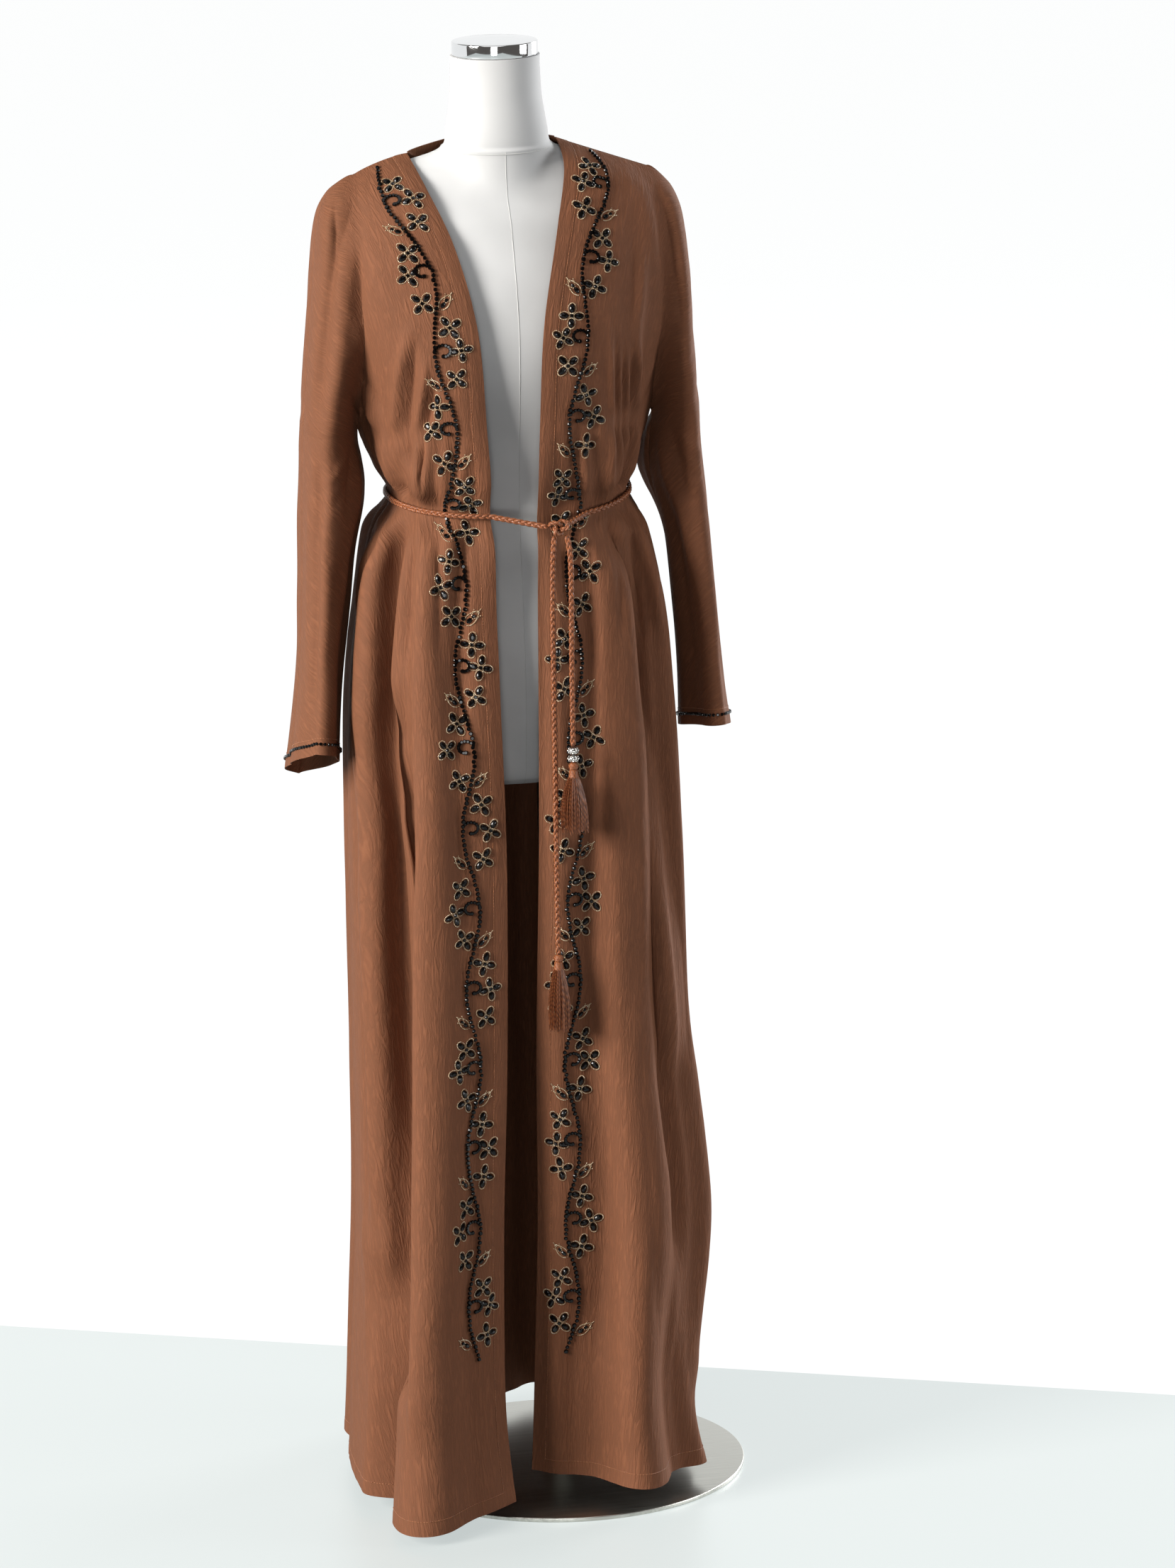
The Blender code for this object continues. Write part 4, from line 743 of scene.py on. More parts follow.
def make_front(name, table, sleeve, folds, creases, side_sign, material, seed):
    """side_sign: -1 on the viewer's left. Returns the piece and the cloth grids that trim is laid on."""
    turn = -side_sign  # which way outward lies from growing u and v
    shares = FRONT_SHARES
    stations = np.concatenate([UPPER, LOWER[1:]])
    rows = front_rows(table, shares)
    base = catmull(rows, stations)
    calm = smooth((1 - shares) / SEAM_CALM)[None, :]
    reach = (fold_field(folds, stations, shares) + gather_field(stations, shares)) * calm
    body = base + plan_outward(base, -turn) * reach[..., None]
    inners = [rows[k, -1] for k in range(UNDERARM + 1)]
    tube = sleeve_rows(sleeve, inners, "front", SLEEVE_TURNS)
    sleeve_all = catmull(tube, np.concatenate([UPPER, SLEEVE_DOWN[1:]]))
    top = len(UPPER)
    upper = np.concatenate([body[:top], sleeve_all[:top, 1:]], axis=1)
    columns = np.arange(upper.shape[1], dtype=float)
    hinge = len(shares) - 1
    widths = np.interp(UPPER, [0, 1, 2, 3, 3.6, 4], [13, 17, 16, 11, 5, 0.01])
    seam_line = upper[0].copy()
    upper = soften_rows(upper, columns, hinge, widths)
    upper[0] = seam_line

    drop_body = column_lengths(body[:, 0])
    drop_underarm = drop_body[top - 1]
    drop_sleeve = drop_underarm + column_lengths(sleeve_all[top - 1 :, len(SLEEVE_TURNS) // 2])

    lower = body[top - 1 :].copy()
    lower[0] = upper[-1, : hinge + 1]
    arm = sleeve_sag(sleeve_all[top - 1 :], SLEEVE_TURNS, side_sign, drop_sleeve - drop_underarm, False)
    arm[0] = upper[-1, hinge:]

    u_upper = row_lengths(upper)
    u_lower = row_lengths(lower)
    u_arm = row_lengths(arm)
    v_upper = drop_body[:top, None] + 0 * u_upper
    v_lower = drop_body[top - 1 :, None] + 0 * u_lower
    v_arm = drop_sleeve[:, None] + 0 * u_arm

    n_upper = grid_normals(upper, turn)
    n_lower = grid_normals(lower, turn)
    n_arm = grid_normals(arm, turn)

    # soft waves, crinkles and creases, calm at the seams and where the parts meet
    w_upper = np.concatenate([np.zeros(hinge), np.linspace(0, 1, upper.shape[1] - hinge)])[None, :]
    overarm = smooth((u_upper[:, -1:] - u_upper) / 0.03)
    wave_upper = drape_field(u_upper, v_upper, seed) + crease_field(creases, u_upper, v_upper)
    sleeve_u = np.maximum(u_upper - u_upper[:, hinge : hinge + 1], 0)
    wave_upper += crease_field(CREASES_SLEEVE, sleeve_u, v_upper - drop_underarm) * smooth(w_upper / 0.1)
    sleeve_share = smooth(w_upper / SLEEVE_BLEND) + 0 * u_upper
    wave_upper *= NEAR_TOP * overarm * part_share(PART_UPPER)
    wave_lower = drape_field(u_lower, v_lower, seed) + crease_field(creases, u_lower, v_lower)
    side_calm = smooth((u_lower[:, -1:] - u_lower) / 0.02)
    wave_lower *= side_calm * BELT_CALM * part_share(PART_LOWER)
    u_whole = u_arm + u_upper[-1, hinge]
    wave_arm = drape_field(u_whole, v_arm, seed) + crease_field(CREASES_SLEEVE, u_arm, v_arm - drop_underarm)
    arm_calm = smooth(u_arm / 0.02) * smooth((u_arm[:, -1:] - u_arm) / 0.03)
    wave_arm *= arm_calm * part_share(PART_ARM)
    wave_arm += cuff_flutes(SLEEVE_TURNS, SLEEVE_DOWN, CUFF_WAVE, seed)

    wave_upper += seam_dip(u_upper[:, -1:] - u_upper) + seam_dip(v_upper)
    wave_lower += seam_dip(u_lower[:, -1:] - u_lower) * PART_LOWER
    wave_arm += (seam_dip(u_arm) * PART_ARM) + seam_dip(u_arm[:, -1:] - u_arm)
    upper += n_upper * wave_upper[..., None]
    lower += n_lower * wave_lower[..., None]
    arm += n_arm * wave_arm[..., None]

    hem = drop_body[-1] - v_lower
    cuff = drop_sleeve[-1] - v_arm
    upper = dress_edges(upper, n_upper, u_upper, None)
    lower = dress_edges(lower, n_lower, u_lower, hem)
    arm = dress_edges(arm, n_arm, None, cuff * HEM_FOLD / CUFF_FOLD)
    for grid in (upper, lower, arm):
        keep_off_seam(grid, -1)
    lower[0] = upper[-1, : hinge + 1]
    arm[0] = upper[-1, hinge:]

    grids = [upper, lower, arm]
    joins = weld_grids(grids, ((slice(0, hinge + 1), 1), (slice(hinge, None), 2)))
    uvs = [
        np.stack([u_upper, v_upper, sleeve_share], axis=-1),
        np.stack([u_lower, v_lower, 0 * u_lower], axis=-1),
        np.stack([u_whole, v_arm, 1 + 0 * u_whole], axis=-1),
    ]
    piece = shell(name, grids, joins, turn, material, uvs)
    whole = np.concatenate([upper[:, : hinge + 1], lower[1:]])
    return piece, Cloth(whole, turn, drop_body), Cloth(arm, turn, drop_sleeve)


def make_back(name, material, seed):
    stations = np.concatenate([UPPER, LOWER[1:]])
    shares = BACK_SHARES
    halves = [back_rows(table, shares) for table in (FRONT_RIGHT, FRONT_LEFT)]
    rows = np.concatenate([halves[0][:, :0:-1], halves[1]], axis=1)
    places = np.concatenate([-shares[:0:-1], shares])
    base = catmull(rows, stations)
    calm = smooth((1 - np.abs(places)) / SEAM_CALM)[None, :]
    reach = (fold_field(FOLDS_BACK, stations, places) + gather_field(stations, places)) * calm
    body = base + plan_outward(base, -1) * reach[..., None]
    top = len(UPPER)
    last = body.shape[1] - 1
    arms = []
    for table, sleeve, half in ((FRONT_RIGHT, SLEEVE_RIGHT, 0), (FRONT_LEFT, SLEEVE_LEFT, 1)):
        inners = [halves[half][k, -1] for k in range(UNDERARM + 1)]
        tube = sleeve_rows(sleeve, inners, "back", SLEEVE_TURNS)
        arms.append(catmull(tube, np.concatenate([UPPER, SLEEVE_DOWN[1:]])))
    arms[0] = arms[0][:, ::-1]
    side = len(SLEEVE_TURNS) - 1
    upper = np.concatenate([arms[0][:top, :-1], body[:top], arms[1][:top, 1:]], axis=1)
    widths = np.interp(UPPER, [0, 1, 2, 3, 3.6, 4], [9, 12, 11, 7, 3, 0.01])
    seam_line = upper[0].copy()
    columns = np.arange(upper.shape[1], dtype=float)
    for hinge in (side, side + last):
        upper = soften_rows(upper, columns, hinge, widths)
    upper[0] = seam_line
    drop = column_lengths(body[:, last // 2])
    drop_underarm = drop[top - 1]

    middle = side + last // 2
    lower = body[top - 1 :].copy()
    lower[0] = upper[-1, side : side + last + 1]
    lengths = row_lengths(upper)
    u_upper = lengths - lengths[:, middle : middle + 1]
    lengths = row_lengths(lower)
    u_lower = lengths - lengths[:, last // 2 : last // 2 + 1]
    v_upper = drop[:top, None] + 0 * u_upper
    v_lower = drop[top - 1 :, None] + 0 * u_lower
    n_upper, n_lower = grid_normals(upper, 1), grid_normals(lower, 1)
    ends = np.minimum(u_upper[:, -1:] - u_upper, u_upper - u_upper[:, :1])
    wave_upper = drape_field(u_upper + 3, v_upper, seed) + crease_field(CREASES_BACK, u_upper, v_upper)
    for hinge, way in ((side, -1), (side + last, 1)):
        sleeve_u = way * (u_upper - u_upper[:, hinge : hinge + 1])
        wave_upper += np.where(
            sleeve_u > 0, crease_field(CREASES_SLEEVE, sleeve_u, v_upper - drop_underarm), 0
        ) * smooth(sleeve_u / 0.01)
    wave_upper *= NEAR_TOP * smooth(ends / 0.03) * part_share(PART_UPPER)
    wave_lower = drape_field(u_lower + 3, v_lower, seed) + crease_field(CREASES_BACK, u_lower, v_lower)
    sides = np.minimum(u_lower[:, -1:] - u_lower, u_lower - u_lower[:, :1])
    wave_lower *= smooth(sides / 0.02) * BELT_CALM * part_share(PART_LOWER)
    neck = np.abs(places) < NECK_SHARE
    seam_top = np.ones(upper.shape[1])
    seam_top[side : side + last + 1][neck] = 0
    wave_upper += seam_dip(ends) + seam_dip(v_upper) * seam_top[None, :]
    wave_lower += seam_dip(sides) * PART_LOWER
    upper = upper + n_upper * wave_upper[..., None]
    lower = lower + n_lower * wave_lower[..., None]
    lower = dress_edges(lower, n_lower, None, drop[-1] - v_lower)
    keep_off_seam(upper, 1)
    keep_off_seam(lower, 1)
    lower[0] = upper[-1, side : side + last + 1]

    columns = np.arange(upper.shape[1])
    share_left = smooth((side - columns) / (SLEEVE_BLEND * side))
    share_right = smooth((columns - side - last) / (SLEEVE_BLEND * side))
    sleeve_share = (share_left + share_right)[None, :] + 0 * u_upper
    grids = [upper, lower]
    uvs = [
        np.stack([u_upper, v_upper, sleeve_share], -1),
        np.stack([u_lower, v_lower, 0 * u_lower], -1),
    ]
    pairs = [(slice(side, side + last + 1), 1)]
    cloths = []
    for k, tube in enumerate(arms):
        arm = tube[top - 1 :].copy()
        drop_arm = drop_underarm + column_lengths(arm[:, side // 2])
        turns = SLEEVE_TURNS if k else SLEEVE_TURNS[::-1]
        arm = sleeve_sag(arm, turns, 1 if k else -1, drop_arm - drop_underarm, True)
        first = 0 if k == 0 else side + last
        arm[0] = upper[-1, first : first + side + 1]
        lengths = row_lengths(arm)
        u_arm = lengths if k else lengths[:, -1:] - lengths
        v_arm = drop_arm[:, None] + 0 * u_arm
        n_arm = grid_normals(arm, 1)
        wave = drape_field(u_arm + 5 * k, v_arm, seed + 3)
        wave += crease_field(CREASES_SLEEVE, u_arm, v_arm - drop_underarm)
        other = lengths if not k else lengths[:, -1:] - lengths
        wave *= smooth(u_arm / 0.02) * smooth(other / 0.03) * part_share(PART_ARM)
        wave += cuff_flutes(turns, SLEEVE_DOWN, CUFF_WAVE, seed + k)
        wave += seam_dip(u_arm) * PART_ARM + seam_dip(other)
        arm = arm + n_arm * wave[..., None]
        arm = dress_edges(arm, n_arm, None, (drop_arm[-1] - v_arm) * HEM_FOLD / CUFF_FOLD)
        keep_off_seam(arm, 1)
        arm[0] = upper[-1, first : first + side + 1]
        grids.append(arm)
        uvs.append(np.stack([lengths + u_upper[-1, first], v_arm, 1 + 0 * v_arm], -1))
        pairs.append((slice(first, first + side + 1), len(grids) - 1))
        cloths.append(Cloth(arm, 1, drop_arm))
    piece = shell(name, grids, weld_grids(grids, pairs), 1, material, uvs)
    whole = np.concatenate([upper[:, side : side + last + 1], lower[1:]])
    return piece, Cloth(whole, 1, drop), cloths


# Small repeated pieces: one template set down at many places
def stamp(name, templates, frames, material, facets=False):
    """frames: (origin, x axis, y axis, z axis) with the axes' lengths as the template's scale."""
    vertices, faces = [], []
    count = 0
    for (points, polygons), placed in zip(templates, frames):
        points = np.asarray(points)
        for origin, x, y, z in placed:
            vertices.append(origin + points @ np.array([x, y, z]))
            faces += [tuple(k + count for k in polygon) for polygon in polygons]
            count += len(points)
    return new_piece(name, np.concatenate(vertices), faces, material, facets=facets)


def cut_bead():
    """A faceted bead of radius 1: a table at each end, two rows of facets between."""
    sides, ring, table = 8, 0.62, 0.72
    points = []
    for z, radius in ((table, ring), (0.0, 1.0), (-table, ring)):
        points += [(x, y, z) for x, y in round_points(radius, sides, 0.5 * (z == 0))]
    faces = [tuple(range(sides))]
    for k in range(sides):
        j = (k + 1) % sides
        top, middle, low = k, sides + k, 2 * sides + k
        faces += [(top, middle, j), (j, middle, sides + j)]
        faces += [(middle, low, sides + j), (sides + j, low, 2 * sides + j)]
    faces.append(tuple(range(3 * sides - 1, 2 * sides - 1, -1)))
    return points, faces


def cut_stone():
    """An oval stone of half lengths 1, sewn flat: a girdle, a band of facets, and a small table."""
    sides = 8
    points = []
    for radius, height, shift in ((1.0, 0.0, 0.0), (0.86, 0.5, 0.5), (0.42, 0.95, 0.0)):
        points += [(x, y, height) for x, y in round_points(radius, sides, shift)]
    faces = []
    for k in range(sides):
        after = (k + 1) % sides
        low, middle, top = k, sides + k, 2 * sides + k
        low_after, middle_after, top_after = after, sides + after, 2 * sides + after
        faces += [(low, low_after, middle), (low_after, middle_after, middle)]
        faces += [(middle, top_after, top), (middle, middle_after, top_after)]
    faces.append(tuple(range(2 * sides, 3 * sides)))
    faces.append(tuple(range(sides - 1, -1, -1)))
    return points, faces


def seed_bead():
    """A seed of radius 1 with few faces, for beads about a millimetre across."""
    points = [(0, 0, 0.8), (0, 0, -0.8)] + [(x, y, 0) for x, y in round_points(1.0, 6)]
    faces = []
    for k in range(6):
        a, b = 2 + k, 2 + (k + 1) % 6
        faces += [(0, a, b), (1, b, a)]
    return points, faces


def stitch_form():
    """One stitch along x: a thread that dips into the cloth at both ends."""
    rings = ((-1.0, -0.9, 0.4), (-0.8, 0.3, 1.0), (0.0, 0.75, 1.0), (0.8, 0.3, 1.0), (1.0, -0.9, 0.4))
    points = []
    for x, z, radius in rings:
        points += [(x, y, z + up) for y, up in round_points(radius, 4, 0.5)]
    faces = []
    for ring in range(len(rings) - 1):
        for k in range(4):
            a, b = 4 * ring + k, 4 * ring + (k + 1) % 4
            faces.append((a, a + 4, b + 4, b))
    return points, faces


def lay(cloth, u, v, turn, lift, size):
    """A frame on the cloth, turned about its normal. size: the axes' lengths, or one length for all."""
    place, across, down, normal = cloth.at(u, v)
    x = across * math.cos(turn) + down * math.sin(turn)
    y = np.cross(normal, x)
    origin = place + normal * lift + np.array([FORM_X, 0, 0])
    long, wide, high = np.broadcast_to(size, 3)
    return origin, x * long, y * wide, normal * high


def heading(angle):
    """The direction at an angle from growing u towards growing v, and the one a quarter turn on."""
    out = np.array([math.cos(angle), math.sin(angle)])
    return out, np.array([-out[1], out[0]])


# The beaded vine
VINE_MEAN = 41 * MM  # from the front edge
VINE_SWING = 8.5 * MM
VINE_START = 70 * MM  # the first group of flowers, below the shoulder seam
LOBES = 15
BEAD = 2.7 * MM
BEAD_PITCH = 5.1 * MM
CUFF_BEAD = 1.9 * MM
CUFF_PITCH = 4.4 * MM
PETAL_LENGTH = 4.9 * MM  # half lengths of a stone
PETAL_WIDTH = 3.2 * MM
PETAL_OUT = 8.0 * MM  # from the flower's middle to the stone's
STONE_HEIGHT = 2.6 * MM
SEED = 0.72 * MM
SEED_LINE = 1.0 * MM  # from the stone's edge to the seeds' line
SEED_PITCH = 2.15  # from seed to seed, in seed radii
HEART_RING = 2.9 * MM  # the ring of seeds round a flower's middle
LEAF_LENGTH = 21 * MM
LEAF_WIDTH = 5.0 * MM
BEAD_FLATNESS = 0.88
FLOWER_DROPS = (-28 * MM, -2 * MM, 29 * MM)
FLOWERS_TO_EDGE = (-12 * MM, -20 * MM, -14 * MM)
FLOWERS_AWAY = (10 * MM, 20 * MM, 10 * MM)


def vine_u(v, pitch):
    """Distance of the vine from the front edge: it swings away from each group of flowers."""
    return VINE_MEAN + VINE_SWING * math.cos(math.pi * (v - VINE_START) / pitch)


def flower(cloth, u, v, turn, size, black, gold):
    """Four stones, each ringed with seeds, round a bead."""
    heart = np.array([u, v])
    for k in range(4):
        angle = turn + k * math.pi / 2
        out, aside = heading(angle)
        middle = heart + out * PETAL_OUT * size
        length, width = PETAL_LENGTH * size, PETAL_WIDTH * size
        black["stone"].append(lay(cloth, *middle, angle, 0.3 * MM, (length, width, STONE_HEIGHT)))
        long, wide = length + SEED_LINE, width + SEED_LINE
        seeds = round(math.pi * (long + wide) / (SEED_PITCH * SEED))
        for j in range(seeds):
            bend = 2 * math.pi * j / seeds
            spot = middle + out * math.cos(bend) * long + aside * math.sin(bend) * wide
            gold.append(lay(cloth, *spot, bend, 0.6 * MM, SEED))
    black["round"].append(lay(cloth, u, v, turn, 1.9 * MM, (2.0 * MM, 2.0 * MM, 1.6 * MM)))
    for k in range(8):
        bend = turn + math.pi * (k + 0.5) / 4
        spot = heart + heading(bend)[0] * HEART_RING
        gold.append(lay(cloth, *spot, bend, 1.0 * MM, SEED))


def leaf(cloth, u, v, turn, size, black, gold):
    """A pointed leaf from its stalk at (u, v), along turn: two outlined stones, with seeds at its tip."""
    stalk = np.array([u, v])
    out, aside = heading(turn)
    length, wide = LEAF_LENGTH * size, LEAF_WIDTH * size
    for share, long, half in ((0.30, 3.7 * MM, 2.5 * MM), (0.62, 2.4 * MM, 1.7 * MM)):
        spot = stalk + out * length * share
        black["stone"].append(lay(cloth, *spot, turn, 0.3 * MM, (long * size, half * size, 1.8 * MM)))
    for side in (-1, 1):
        # the outline, then the vein's short branches
        for share in np.linspace(0, 1, 18):
            width = math.sin(math.pi * share**0.75) ** 0.8 * wide
            spot = stalk + out * length * share + aside * side * width
            gold.append(lay(cloth, *spot, turn, 0.6 * MM, SEED))
        for k in range(5):
            share = 0.50 + 0.09 * k
            spot = stalk + out * length * share + aside * side * wide * (0.25 + 0.17 * k)
            gold.append(lay(cloth, *spot, turn, 0.8 * MM, SEED))
    for k in range(5):
        spot = stalk + out * length * (0.86 + 0.065 * k)
        gold.append(lay(cloth, *spot, turn, 0.7 * MM, SEED))


def tendril(cloth, v, side, pitch, black):
    """A crook of beads that leaves the vine, arches over and curls back in."""
    start = vine_u(v, pitch)
    count = 12
    for k in range(1, count + 1):
        share = k / count
        bend = math.pi * (1.02 - 1.55 * share)
        radius = 10.0 * MM * (1 - 0.42 * share)
        along = 9.5 * MM + radius * math.cos(bend)
        drop = -radius * math.sin(bend) * 0.85
        size = 2.1 * MM * (1.2 if k == count else 1.0)
        black["round"].append(
            lay(cloth, start + side * along, v + drop, 1.3 * k, 1.5 * MM, (size, size, size * 0.9))
        )


def make_vine(name, cloth, pitch, seed, glass, gold_lining):
    random = np.random.RandomState(seed)
    black = {"round": [], "stone": []}
    gold = []
    last = VINE_START + pitch * (LOBES - 1)
    fine = np.linspace(0.012, last + 0.66 * pitch, 1500)
    spots = np.array([cloth.at(vine_u(v, pitch), v)[0] for v in fine])
    run = column_lengths(spots)
    for along in np.arange(0, run[-1], BEAD_PITCH):
        v = float(np.interp(along, run, fine))
        size = BEAD * random.uniform(0.80, 1.04)
        u = vine_u(v, pitch) + random.normal(0, 0.45 * MM)
        turn = random.uniform(0, 6.28)
        black["round"].append(lay(cloth, u, v, turn, 1.55 * MM, (size, size, size * BEAD_FLATNESS)))
    for lobe in range(LOBES):
        middle = VINE_START + pitch * lobe
        to_edge = lobe % 2 == 0
        offsets = FLOWERS_TO_EDGE if to_edge else FLOWERS_AWAY
        for drop, offset in zip(FLOWER_DROPS, offsets):
            u = VINE_MEAN + offset + random.normal(0, 1.2 * MM)
            v = middle + drop + random.normal(0, 1.5 * MM)
            turn = random.uniform(0, math.pi / 2)
            flower(cloth, u, v, turn, random.uniform(0.93, 1.04), black, gold)
        side = -1 if to_edge else 1
        tendril(cloth, middle - 4 * MM, side, pitch, black)
        if lobe:
            v = middle - 0.56 * pitch
            turn = (math.pi + 0.75) if to_edge else (-0.75)
            leaf(cloth, vine_u(v, pitch) + side * 4 * MM, v, turn, random.uniform(0.9, 1.05), black, gold)
    v = last + 0.45 * pitch
    leaf(cloth, vine_u(v, pitch) + 5 * MM, v, -0.6, 1.0, black, gold)
    templates = (cut_bead(), cut_stone())
    beads = stamp(name + "_beads", templates, (black["round"], black["stone"]), glass, facets=True)
    return [beads, stamp(name + "_seeds", (seed_bead(),), (gold,), gold_lining)]


def make_cuff_beads(name, front_arm, back_arm, glass):
    """One row of beads round the cuff, on both halves of the sleeve."""
    frames = []
    for arm in (front_arm, back_arm):
        width = arm.u[-2, -1]
        v = arm.v[-1] - 12 * MM
        count = int(width / CUFF_PITCH)
        size = (CUFF_BEAD, CUFF_BEAD, CUFF_BEAD * BEAD_FLATNESS)
        for k in range(count):
            frames.append(lay(arm, (k + 0.5) * width / count, v, 0.9 * k, 1.1 * MM, size))
    return stamp(name, (cut_bead(),), (frames,), glass, facets=True)


STITCH_LENGTH = 3.3 * MM
THREAD = 0.28 * MM


def stitch_line(cloth, spots):
    """Stitches along (u, v) spots on the cloth."""
    spots = np.array(spots)
    run = column_lengths(np.array([cloth.at(u, v)[0] for u, v in spots]))
    frames = []
    for along in np.arange(0.5 * STITCH_LENGTH, run[-1], STITCH_LENGTH):
        found = []
        for at in (along, along + 1 * MM):
            u, v = (float(np.interp(at, run, spots[:, k])) for k in (0, 1))
            found.append(cloth.at(u, v))
        place, _, _, normal = found[0]
        step = found[1][0] - place
        if np.linalg.norm(step) < 1e-7:
            continue
        x = unit(step)
        y = unit(np.cross(normal, x))
        origin = place + normal * 0.12 * MM + np.array([FORM_X, 0, 0])
        frames.append((origin, x * STITCH_LENGTH * 0.46, y * THREAD, normal * THREAD))
    return frames


def make_stitches(fronts, back, arms, thread):
    """The stitch lines of the front edges, then of the hem and the cuffs."""
    frames = []
    for cloth in fronts:
        drops = np.linspace(0.004, cloth.v[-1] - HEM_FOLD, 240)
        frames += stitch_line(cloth, [(EDGE_FOLD, v) for v in drops])
    level_lines = [(cloth, EDGE_FOLD, HEM_FOLD, 120) for cloth in fronts]
    level_lines.append((back, 2 * MM, HEM_FOLD, 240))
    level_lines += [(arm, 2 * MM, CUFF_FOLD, 60) for arm in arms]
    for cloth, start, fold, count in level_lines:
        width = cloth.u[-4, -1]
        v = cloth.v[-1] - fold
        frames += stitch_line(cloth, [(u, v) for u in np.linspace(start, width - 2 * MM, count)])
    return stamp("edge_stitches", (stitch_form(),), (frames,), thread)


# The braided belt
STRAND_SHARE = 0.245  # a strand's radius, as a share of the plait's width
PLAIT_PERIOD = 3.3  # the plait's repeat, in widths
KNOT_CENTRE = np.array([0.029 + FORM_X, -0.1385, 1.0965])
KNOT_SIZE = np.array([0.0125, 0.0085, 0.0095])
KNOT_ROOM = 2.2 * MM


def frames_along(path):
    """Tangent, side and up at each point of a path, turned as little as can be."""
    path = np.asarray(path)
    tangents = unit(np.gradient(path, axis=0))
    side = unit(np.cross(tangents[0], [0.0, 1.0, 0.0] if abs(tangents[0][1]) < 0.8 else [1.0, 0.0, 0.0]))
    sides = []
    for tangent in tangents:
        side = unit(side - tangent * float(side @ tangent))
        sides.append(side)
    sides = np.array(sides)
    return tangents, sides, np.cross(sides, tangents)


def resampled(path, step):
    path = np.asarray(path, float)
    run = column_lengths(path)
    count = max(3, round(run[-1] / step))
    at = np.linspace(0, run[-1], count + 1)
    return np.column_stack([np.interp(at, run, path[:, k]) for k in range(3)]), at


def smooth_path(points, count):
    return catmull(np.array(points), np.linspace(0, len(points) - 1, count))


def tube_mesh(paths, radius, sides, taper=0):
    """Round tubes with closed ends along each path."""
    vertices, faces = [], []
    start = 0
    for path in paths:
        _, side, up = frames_along(path)
        count = len(path)
        sizes = np.full(count, radius)
        if taper:
            sizes[:taper] *= np.linspace(0.35, 1, taper)
            sizes[-taper:] *= np.linspace(1, 0.35, taper)
        angles = 2 * np.pi * np.arange(sides) / sides
        ring = np.cos(angles)[None, :, None] * side[:, None] + np.sin(angles)[None, :, None] * up[:, None]
        vertices.append((np.asarray(path)[:, None] + ring * sizes[:, None, None]).reshape(-1, 3))
        for k in range(count - 1):
            for j in range(sides):
                a = start + k * sides + j
                b = start + k * sides + (j + 1) % sides
                faces.append((a, a + sides, b + sides, b))
        faces.append(tuple(start + j for j in range(sides)))
        faces.append(tuple(start + (count - 1) * sides + j for j in reversed(range(sides))))
        start += count * sides
    return np.concatenate(vertices), faces


def plait(name, route, material, width=PLAIT_WIDTH, flat_side=None, step=1.3 * MM):
    """Three strands that cross in turn along the route, as one mesh. Returns it and the route's points."""
    path, along = resampled(route, step)
    _, side, up = frames_along(path)
    if flat_side is not None:
        tangents = unit(np.gradient(path, axis=0))
        up = np.tile(np.asarray(flat_side, float), (len(path), 1))
        up = unit(up - tangents * np.sum(up * tangents, axis=1, keepdims=True))
        side = np.cross(tangents, up)
    strand = STRAND_SHARE * width
    swing = 0.5 * width - strand
    period = PLAIT_PERIOD * width
    paths = []
    for k in range(3):
        phase = 2 * np.pi * along / period + k * 2 * np.pi / 3
        offset = side * (swing * np.sin(phase))[:, None] + up * (0.62 * strand * np.sin(2 * phase))[:, None]
        paths.append(path + offset)
    vertices, faces = tube_mesh(paths, strand, 7, taper=3)
    return new_piece(name, vertices, faces, material), path


def even_out(values, spread):
    """Rows averaged with their neighbours, by a bell of the given spread. The ends stay."""
    reach = 3 * spread
    weights = np.exp(-0.5 * (np.arange(-reach, reach + 1) / spread) ** 2)
    weights /= weights.sum()
    padded = np.pad(values, ((reach, reach), (0, 0)), mode="edge")
    smoothed = sum(w * padded[k : k + len(values)] for k, w in enumerate(weights))
    smoothed[0], smoothed[-1] = values[0], values[-1]
    return smoothed


def belt_ring():
    """The belt's line round the waist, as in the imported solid: outside the gathers, gate to gate."""
    shares, back_shares = np.linspace(0, 1, 19), np.linspace(0, 1, 15)
    tables = (FRONT_RIGHT, FRONT_LEFT)
    front_a, front_b = (catmull(front_rows(table, shares), BELT_STATION)[0] for table in tables)
    back_a, back_b = (catmull(back_rows(table, back_shares), BELT_STATION)[0] for table in tables)
    seams = np.array([front_a[-1], back_b[-1]])
    section = np.concatenate([front_a, back_a[::-1][1:], back_b[1:], front_b[::-1][1:]])
    line, _ = resampled(section, 6 * MM)
    tangents = even_out(np.gradient(line, axis=0), 2)
    out = unit(np.column_stack([-tangents[:, 1], tangents[:, 0], np.zeros(len(line))]))
    to_seam = np.min(np.linalg.norm(line[:, None] - seams[None], axis=2), axis=1)
    lift = 0.5 * PLAIT_WIDTH + CREPE + BELT_CREST * smooth((to_seam - 0.005) / 0.05)
    line = even_out(line + out * lift[:, None], 2)
    line[:, 0] += FORM_X
    return line


